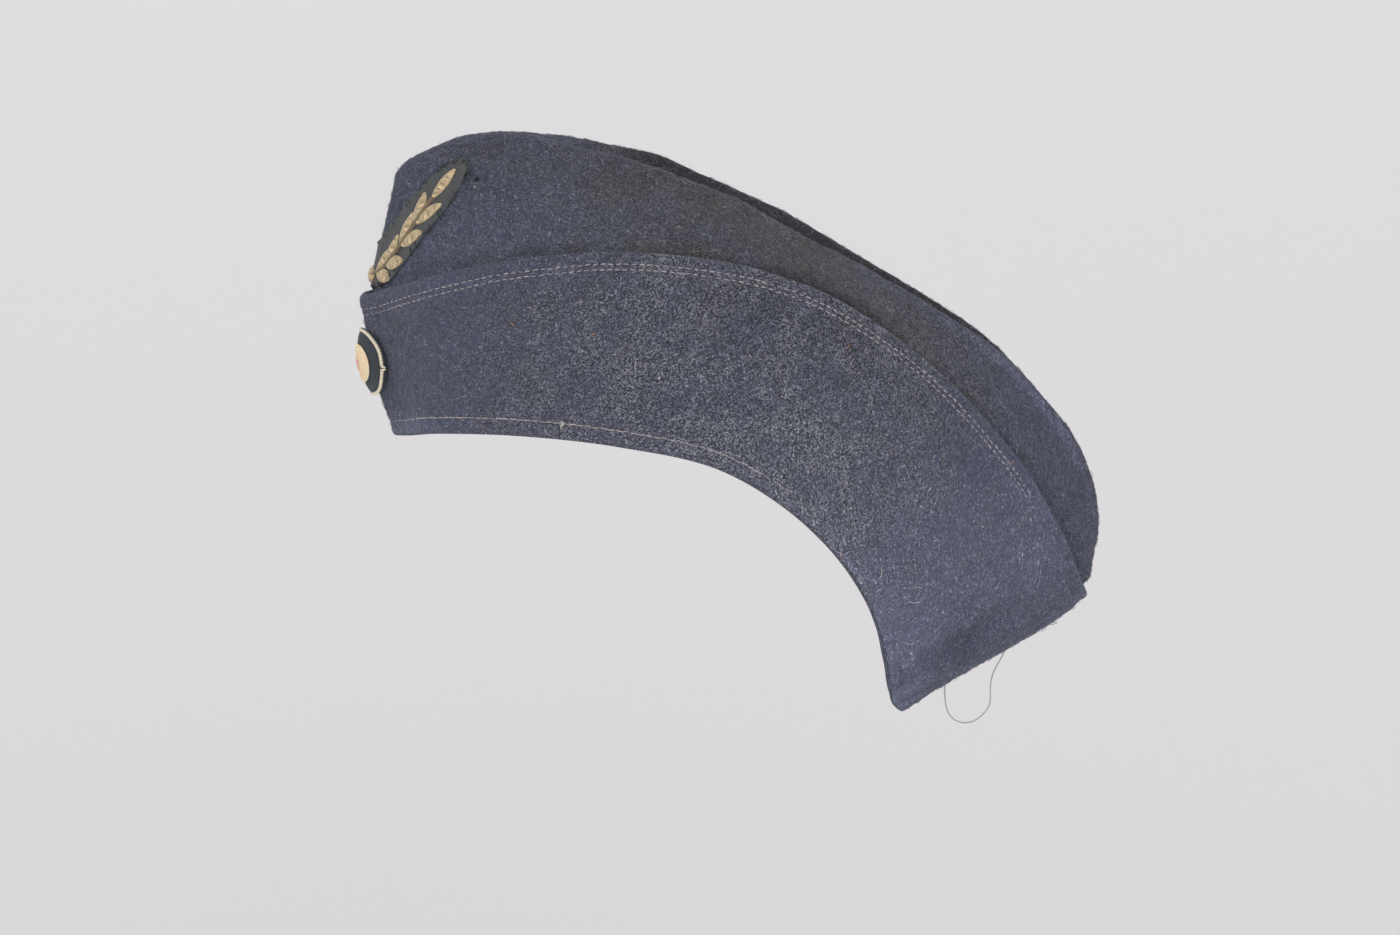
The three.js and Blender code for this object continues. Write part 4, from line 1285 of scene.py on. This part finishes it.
def badge_patch(build, front):
    """The patch: a sheet with a slightly uneven border and rolled edges, following the crown's front."""
    across, low, high = patch_border(np.linspace(0, 1, 161))
    uneven = np.stack([across, 0 * across, 0 * across], -1)
    low = low + BACKING_UNEVEN * soft_noise(uneven, 7 * MM, 12)
    high = high + BACKING_UNEVEN * soft_noise(uneven, 6 * MM, 13)
    up = low + (high - low) * np.linspace(0, 1, 13)[:, None]
    pillow = BACKING_PILLOW * soft_noise(np.stack([across + 0 * up, up, 0 * up], -1), 9 * MM, 14)
    outer = front.at(across, up, BACKING_WALL + pillow)[0]
    inner = front.at(across, up, BACKING_SEAT)[0]
    build.band(np.concatenate([
        outer, upper_edge(outer, inner, unit(outer[-1] - outer[-2])),
        inner[::-1], lower_edge(outer, inner, unit(outer[0] - outer[1]))]), False)


def satin_leaf(build, front, root, angle, length, width, dome, pitch):
    """A leaf of satin stitches: a swelling, tapering, domed strip with slanting ribs, closed underneath."""
    share = np.linspace(0, 1, 57)[None]
    side = np.linspace(-1, 1, 13)[:, None]
    half = LEAF_TIP + (width / 2 - LEAF_TIP) * np.sin(math.pi * share) ** LEAF_FULLNESS
    across = root[0] + math.cos(angle) * share * length - math.sin(angle) * side * half
    up = root[1] + math.sin(angle) * share * length + math.cos(angle) * side * half
    ribs = np.abs(np.sin(math.pi * (share * length - RIB_SLANT * np.abs(side) * half) / pitch))
    height = BACKING_WALL + SPRAY_LIFT + dome * (1 - side ** 2) * np.sin(math.pi * share) ** 0.6
    height = height + RIB_HEIGHT * (ribs - 0.5) * (1 - side ** 4)
    top = front.at(across, up, height)[0]
    under = front.at(across, up, BACKING_WALL - SPRAY_SEAT)[0]
    # The ribs kept as tone, for painted shade between them
    tone = np.concatenate([ribs + 0 * height, np.ones_like(height)])
    build.band(np.concatenate([top, under[::-1]]), False, tone)


def leaf_sprays(build, front):
    """Two leafy stems that spread from a knot over the front seam."""
    stem = smooth_line(STEM_POINTS, 20)
    tangents = unit(np.gradient(stem, axis=0))
    for mirror in HALVES.values():
        points, normals = front.at(mirror * stem[:, 0], stem[:, 1], BACKING_WALL + STEM_LIFT)
        build.tubes(points[None], normals[None], np.full((1, len(stem)), STEM_HALF_WIDTH), sides=10)
        for share in np.linspace(FIRST_LEAF, 1, LEAF_PAIRS + 1):
            index = round(share * (len(stem) - 1))
            root = (stem[index] - LEAF_ROOT * tangents[index]) * (mirror, 1)
            heading = math.atan2(tangents[index, 1], mirror * tangents[index, 0])
            for turn in (0.0,) if share == 1 else (-LEAF_SPREAD, LEAF_SPREAD):
                satin_leaf(build, front, root, heading + turn, LEAF_LENGTH, LEAF_WIDTH, LEAF_DOME, LEAF_RIBS)
    knot = (0.0, STEM_POINTS[0, 1] - KNOT_LENGTH / 2)
    satin_leaf(build, front, knot, math.pi / 2, KNOT_LENGTH, KNOT_WIDTH, 2 * LEAF_DOME, KNOT_RIBS)


def patch_tacks(build, front, rng):
    """Hand stitches over the patch's border, leaning their own way, with loose ends at both tips."""
    for border, outward in ((1, -1.0), (2, 1.0)):
        place = np.linspace(0.02, 0.98, TACKS) + rng.normal(0, 0.006, TACKS)
        edges = patch_border(place)
        steps = np.linspace(-1, 1, 7)[None]
        reach = rng.uniform(*TACK_HALF_LENGTH, TACKS)[:, None]
        lean = rng.normal(0, 0.5, TACKS)[:, None]
        across = edges[0][:, None] + lean * steps * reach
        up = edges[border][:, None] + outward * steps * reach
        drop = BACKING_WALL * (0.55 - 0.5 * np.tanh(2.5 * (steps - 0.25)))
        points, normals = front.at(across, up, drop + 0.22 * MM - 0.30 * MM * steps ** 6)
        radius = np.full(points.shape[:2], TACK_RADIUS)
        build.tubes(points, normals, radius, sides=5, value=rng.uniform(0, 1, TACKS))
    tip, *heights = BACKING_OUTLINE[-1]
    share = np.linspace(0, 1, 9)
    for mirror in HALVES.values():
        for turn in LOOSE_END_TURNS:
            across = mirror * (tip + LOOSE_END * share * math.cos(turn))
            up = np.mean(heights) + LOOSE_END * share * math.sin(turn) + 0.5 * MM * np.sin(5 * share)
            points, normals = front.at(across, up, 0.3 * MM + 0.7 * MM * np.sin(math.pi * share))
            build.tubes(points[None], normals[None], np.full((1, len(share)), LOOSE_END_RADIUS), sides=5)


class CAP_OT_badge(bpy.types.Operator):
    """Makes the badge: a cloth patch with embroidered leaf sprays, tacked on by hand"""

    bl_idname = "side_cap.badge"
    bl_label = "Badge"

    def execute(self, context):
        trim = context.scene.cap_trim
        front = Front(context.scene.cap_cloth.crown_wall)
        patch, sprays, tacks = Build(), Build(), Build()
        badge_patch(patch, front)
        leaf_sprays(sprays, front)
        patch_tacks(tacks, front, np.random.default_rng(55))
        cloth = felt_material("badge cloth", trim.patch_colour, grain=0.5 * MM, bump=0.2 * MM)
        patch.piece("badge_patch", cloth, "badge_cloth", ["badge_backing"])
        satin = satin_material("embroidery", trim.leaf_colour)
        sprays.piece("badge_leaves", satin, "cream_thread", ["badge_spray"])
        thread = thread_material("tacking thread", trim.tack_colour, pitch=0.7 * MM)
        tacks.piece("badge_tacks", thread, "dark_felt")
        return {"FINISHED"}


class Seat:
    """Where the cockade sits: its centre and axes in the row frame, and the flap's face under it."""

    def __init__(self):
        step = SEAT_STEP * np.array([-1, 0, 1])
        near = to_row(crown_face(COCKADE_ALONG + step, COCKADE_LEVEL + step))
        x, y, z = unit(np.cross(near[1, 2] - near[1, 0], near[2, 1] - near[0, 1]))
        c, s = math.cos(COCKADE_TILT), math.sin(COCKADE_TILT)
        self.axis = np.array([x, c * y + s * z, c * z - s * y])
        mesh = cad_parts["cockade_base"].data
        base = np.empty(3 * len(mesh.vertices), np.float32)
        mesh.vertices.foreach_get("co", base)
        base = base.reshape(-1, 3).astype(float)
        self.centre = base[np.argmax(base @ self.axis)] - (COCKADE_HEIGHT - COCKADE_PROUD) * self.axis
        side = np.array([1.0, 0.0, 0.0])
        self.across = unit(side - (side @ self.axis) * self.axis)
        self.lifted = np.cross(self.across, self.axis)
        cloth = np.concatenate([to_row(FACES[f"flap_{name}"].points.reshape(-1, 3)) for name in HALVES])
        x, y, z = ((cloth - self.centre) @ way for way in (self.across, self.lifted, self.axis))
        under = (np.hypot(x, y) < SEAT_REACH * COCKADE_RADIUS) & (np.abs(z) < COCKADE_RADIUS)
        x, y, z = x[under], y[under], z[under] + bend_drop(x[under])
        self.fit = np.linalg.lstsq(self.terms(x, y), z, rcond=None)[0]

    @staticmethod
    def terms(x, y):
        """Powers of x and y, up to the fourth, that the flap's face is fitted with."""
        return np.stack([0 * x + 1, x, y, x * x, x * y, y * y, x ** 3, x * x * y, x ** 4], -1)

    def under(self, radius, turn):
        """Height of the flap's face under the bent cockade, from the best fit to it."""
        return self.terms(radius * np.cos(turn), radius * np.sin(turn)) @ self.fit

    def at(self, radius, turn, height):
        """Points at a radius, a turn and a height, bent round the cap's nose."""
        across = radius * np.cos(turn)
        shares = ((across, self.across), (radius * np.sin(turn), self.lifted),
                  (height - bend_drop(across), self.axis))
        return self.centre + sum(share[..., None] * way for share, way in shares)

    def turned(self, build, radius, height, sides, value=None):
        """A turned solid: radius at each step, height at each step or at each side and step."""
        turn = np.arange(sides)[:, None] * 2 * math.pi / sides
        points = self.at(radius[None], turn, np.broadcast_to(height, (sides, len(radius))))
        build.joined(points[None], value)


def bend_drop(across):
    """How far the cockade falls back across from its axis: a rounded fold at left, a square at right."""
    fold = LEFT_SLOPE * (np.hypot(across, FOLD_ROUNDING) - FOLD_ROUNDING)
    return np.where(across > 0, fold, RIGHT_BEND * across ** 2)


def dome_height(radius):
    """Height of the cockade's base at a distance from its axis."""
    rise = np.maximum(1 - (radius / COCKADE_RADIUS) ** 2, 0) ** COCKADE_FULLNESS
    return COCKADE_EDGE + (COCKADE_HEIGHT - COCKADE_EDGE) * rise


def cockade_base(build, seat):
    """The base: a low dome whose underside is let into the flap's face, undercut at the border."""
    sides = 96
    turn = np.arange(sides)[:, None] * 2 * math.pi / sides
    top = np.cos(np.linspace(0, math.pi / 2 - 0.01, 30)) * COCKADE_RADIUS
    out = COCKADE_UNDERSIDE * COCKADE_RADIUS
    floor = np.minimum(seat.under(out[None], turn), COCKADE_EDGE) - COCKADE_SINK
    floor[:, -1] = COCKADE_EDGE - 0.2 * MM
    heights = np.concatenate([floor, np.broadcast_to(dome_height(top), (sides, len(top)))], 1)
    seat.turned(build, np.concatenate([out, top]), heights, sides)


def round_piece(build, seat, radius, lift, thickness, stain):
    """A thin round of felt that follows the base's dome, its border rounded, stained round its middle."""
    edge = np.linspace(0, math.pi / 2, 6)
    bevel = 0.45 * thickness
    out = np.array([0.02, 0.5, 0.9]) * radius
    rim = radius - bevel + bevel * np.cos(edge)
    top = np.linspace(radius - bevel, 0.02 * radius, 14)[1:]
    radii = np.concatenate([out, rim, top])
    rise = np.concatenate([0 * out, thickness - bevel + bevel * np.sin(edge), 0 * top + thickness])
    seat.turned(build, radii, dome_height(radii) + lift + rise, sides=72, value=bell(radii, stain * radius))


def cockade_cord(build, seat):
    """The cord: two strands wound closely round each other in a ring, its ends turned out side by side."""
    shoulder = COCKADE_EDGE + CORD_LIFT + CORD_THICKNESS / 2
    turn = CORD_JOINT + np.linspace(0.05, 2 * math.pi - 0.05, 520)
    offset, thick = 0.22 * CORD_THICKNESS, 0.32 * CORD_THICKNESS
    sway = CORD_SWAY * soft_noise(np.stack([np.cos(turn), np.sin(turn), 0 * turn], -1), 0.9, 31)
    for start in (0.0, math.pi):
        twist = CORD_WINDS * turn + start
        line = seat.at(CORD_RADIUS + sway + offset * np.cos(twist), turn, shoulder + offset * np.sin(twist))
        radius = np.full((1, len(turn)), thick)
        build.tubes(line[None], seat.axis, radius, sides=7, value=CORD_TONE)
    share = np.linspace(0, 1, 12)
    for side in (-1, 1):
        angle = CORD_JOINT + side * (0.07 - 0.05 * share)
        line = seat.at(CORD_RADIUS + CORD_END * share ** 1.4, angle, shoulder + 0.1 * MM - 0.6 * MM * share)
        radius = CORD_THICKNESS * (0.46 - 0.26 * share)
        build.tubes(line[None], seat.axis, radius[None], sides=8, value=CORD_TONE)


class CAP_OT_cockade(bpy.types.Operator):
    """Makes the cockade: a dark domed base, a cream cord ring, a cream disc and a red centre"""

    bl_idname = "side_cap.cockade"
    bl_label = "Cockade"

    def execute(self, context):
        trim = context.scene.cap_trim
        seat = Seat()
        base, cord, disc, centre = Build(), Build(), Build(), Build()
        cockade_base(base, seat)
        cockade_cord(cord, seat)
        round_piece(disc, seat, DISC_RADIUS, DISC_LIFT, DISC_THICKNESS, DISC_STAIN)
        round_piece(centre, seat, CENTRE_RADIUS, CENTRE_LIFT, CENTRE_THICKNESS, CENTRE_STAIN)
        dark = felt_material("dark felt", trim.cockade_dark, grain=0.45 * MM, bump=0.15 * MM)
        twisted = thread_material("cord", trim.cord_colour, pitch=0.9 * MM)
        fine = {"grain": 0.22 * MM, "bump": 0.06 * MM}
        cream = felt_material("cream felt", trim.cockade_cream, **fine, tinting=trim.cockade_stain, amount=1.6)
        red = felt_material("red felt", trim.cockade_cream, **fine, tinting=trim.cockade_red, amount=4.0)
        for build, name, material, slot in (
                (base, "base", dark, "dark_felt"), (cord, "cord", twisted, "cream_cord"),
                (disc, "disc", cream, "cream_felt"), (centre, "centre", red, "red_felt")):
            build.piece(f"cockade_{name}_cloth", material, slot, [f"cockade_{name}"], level_frame=False)
        return {"FINISHED"}


def arcs(root, normal, way, ahead, aside, rise):
    """Lines from roots on a face: so far ahead along their way, so far aside and so high over the face."""
    side = np.cross(normal, way)
    return (root[:, None] + way[:, None] * ahead[..., None] + side[:, None] * aside[..., None]
            + normal[:, None] * rise[..., None])


def fibres(build, face, rng, count, levels, length, thickness):
    """Curled fibres: arcs along the face that leave the cloth, bow over it and come down again."""
    along, level = rng.uniform(0.003, 0.997, count), rng.uniform(*levels, count)
    root, normal = face.at(along, level)
    way = rng.normal(size=(count, 3))
    way = unit(way - (way * normal).sum(-1, keepdims=True) * normal)
    lengths = length * rng.uniform(0.55, 1.35, count)[:, None]
    steps = np.linspace(-0.5, 0.5, 5)[None]
    bend = rng.normal(0, 2.0, count)[:, None]
    bend = np.where(np.abs(bend) < 0.15, 0.15, bend)
    ahead = lengths * np.sin(bend * steps) / bend
    aside = lengths * (1 - np.cos(bend * steps)) / bend
    lift = rng.gamma(2.0, 0.10 * MM, count)[:, None] + 0.02 * MM
    rise = lift * (0.25 + 0.75 * np.sin(math.pi * (steps + 0.5) * rng.uniform(0.55, 1.0, count)[:, None]))
    taper = (1 - 0.6 * (2 * np.abs(steps)) ** 3) * rng.uniform(0.7, 1.25, count)[:, None]
    lines = arcs(root, normal, way, ahead, aside, rise)
    build.tubes(lines, normal[:, None], thickness / 2 * taper, sides=3, value=rng.uniform(0, 1, count))


class CAP_OT_nap(bpy.types.Operator):
    """Raises single wool fibres from the cloth"""

    bl_idname = "side_cap.nap"
    bl_label = "Nap"

    def execute(self, context):
        cloth = context.scene.cap_cloth
        crown = fibre_material(
            "crown fibres", dark=shaded(cloth.crown_colour, 0.8), light=cloth.crown_light,
            odd=CROWN_ODD_FIBRE)
        flap = fibre_material(
            "flap fibres", dark=shaded(cloth.flap_colour, 0.8), light=shaded(cloth.flap_light, 0.75),
            odd=FLAP_ODD_FIBRE)
        rng = np.random.default_rng(34)
        for part, material, count, levels in (("crown", crown, cloth.crown_fibres, CROWN_FIBRE_LEVELS),
                                              ("flap", flap, cloth.flap_fibres, FLAP_FIBRE_LEVELS)):
            for name in HALVES:
                build = Build()
                face = FACES[f"{part}_{name}"]
                fibres(build, face, rng, count, levels, cloth.fibre_length, cloth.fibre_thickness)
                build.piece(f"{part}_{name}_nap", material, f"wool_{part}")
        return {"FINISHED"}


def single_hairs(build, face, table):
    """Single hairs at given places: arcs over a face, lifted most in the middle or at the free end."""
    along, level, heading, length, bend, lift, free, thickness, tone = np.array(table, float).T[..., None]
    root, normal = face.at(along[:, 0], level[:, 0])
    ahead = unit(face.at(along[:, 0] + 0.004, level[:, 0])[0] - root)
    way = np.cos(heading) * ahead + np.sin(heading) * np.cross(normal, ahead)
    steps = np.linspace(0, 1, 15)[None]
    angle = bend * steps
    run = MM * (length / bend)
    rise = (1 - free) * np.sin(math.pi * steps) + free * steps ** 1.5
    rise = 0.1 * MM + MM * lift * rise
    lines = arcs(root, normal, way, run * np.sin(angle), run * (1 - np.cos(angle)), rise)
    radius = MM * thickness / 2 * (1 - 0.5 * steps ** 4)
    build.tubes(lines, normal[:, None], radius, sides=5, value=tone)


class CAP_OT_lint(bpy.types.Operator):
    """Lays single pale hairs, a knot in the rim row and a tuft of dark thread ends on the left flap"""

    bl_idname = "side_cap.lint"
    bl_label = "Lint"

    def execute(self, context):
        build = Build()
        single_hairs(build, FACES["flap_left"], HAIRS)
        material = fibre_material("lint", dark=LINT_DARK, light=LINT_PALE, odd=LINT_BROWN)
        build.piece("lint", material, "cream_thread")
        return {"FINISHED"}


class CAP_PT_panel(bpy.types.Panel):
    """Lists the cap's settings and its pieces"""

    bl_idname = "CAP_PT_panel"
    bl_label = "Side Cap"
    bl_space_type = "VIEW_3D"
    bl_region_type = "UI"
    bl_category = "Side Cap"

    def draw(self, context):
        for operator in OPERATORS:
            self.layout.operator(operator.bl_idname)
        for settings in (context.scene.cap_cloth, context.scene.cap_trim, context.scene.cap_stage):
            box = self.layout.box()
            for name in settings.__annotations__:
                box.prop(settings, name)


OPERATORS = (CAP_OT_stage, CAP_OT_loose_thread, CAP_OT_crown, CAP_OT_flap, CAP_OT_stitching, CAP_OT_badge,
             CAP_OT_cockade, CAP_OT_nap, CAP_OT_lint)
CLASSES = (CapClothSettings, CapTrimSettings, CapStageSettings, *OPERATORS, CAP_PT_panel)


def register():
    """Registers the classes and hangs the settings on the scene."""
    for made in CLASSES:
        bpy.utils.register_class(made)
    bpy.types.Scene.cap_cloth = bpy.props.PointerProperty(type=CapClothSettings)
    bpy.types.Scene.cap_trim = bpy.props.PointerProperty(type=CapTrimSettings)
    bpy.types.Scene.cap_stage = bpy.props.PointerProperty(type=CapStageSettings)


def unregister():
    """Takes the settings and the classes away again."""
    for name in ("cap_cloth", "cap_trim", "cap_stage"):
        delattr(bpy.types.Scene, name)
    for made in reversed(CLASSES):
        bpy.utils.unregister_class(made)


def main():
    """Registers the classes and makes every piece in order."""
    register()
    bpy.ops.side_cap.stage()
    bpy.ops.side_cap.loose_thread()
    bpy.ops.side_cap.crown()
    bpy.ops.side_cap.flap()
    bpy.ops.side_cap.stitching()
    bpy.ops.side_cap.badge()
    bpy.ops.side_cap.cockade()
    bpy.ops.side_cap.nap()
    bpy.ops.side_cap.lint()


if __name__ == "__main__":
    main()
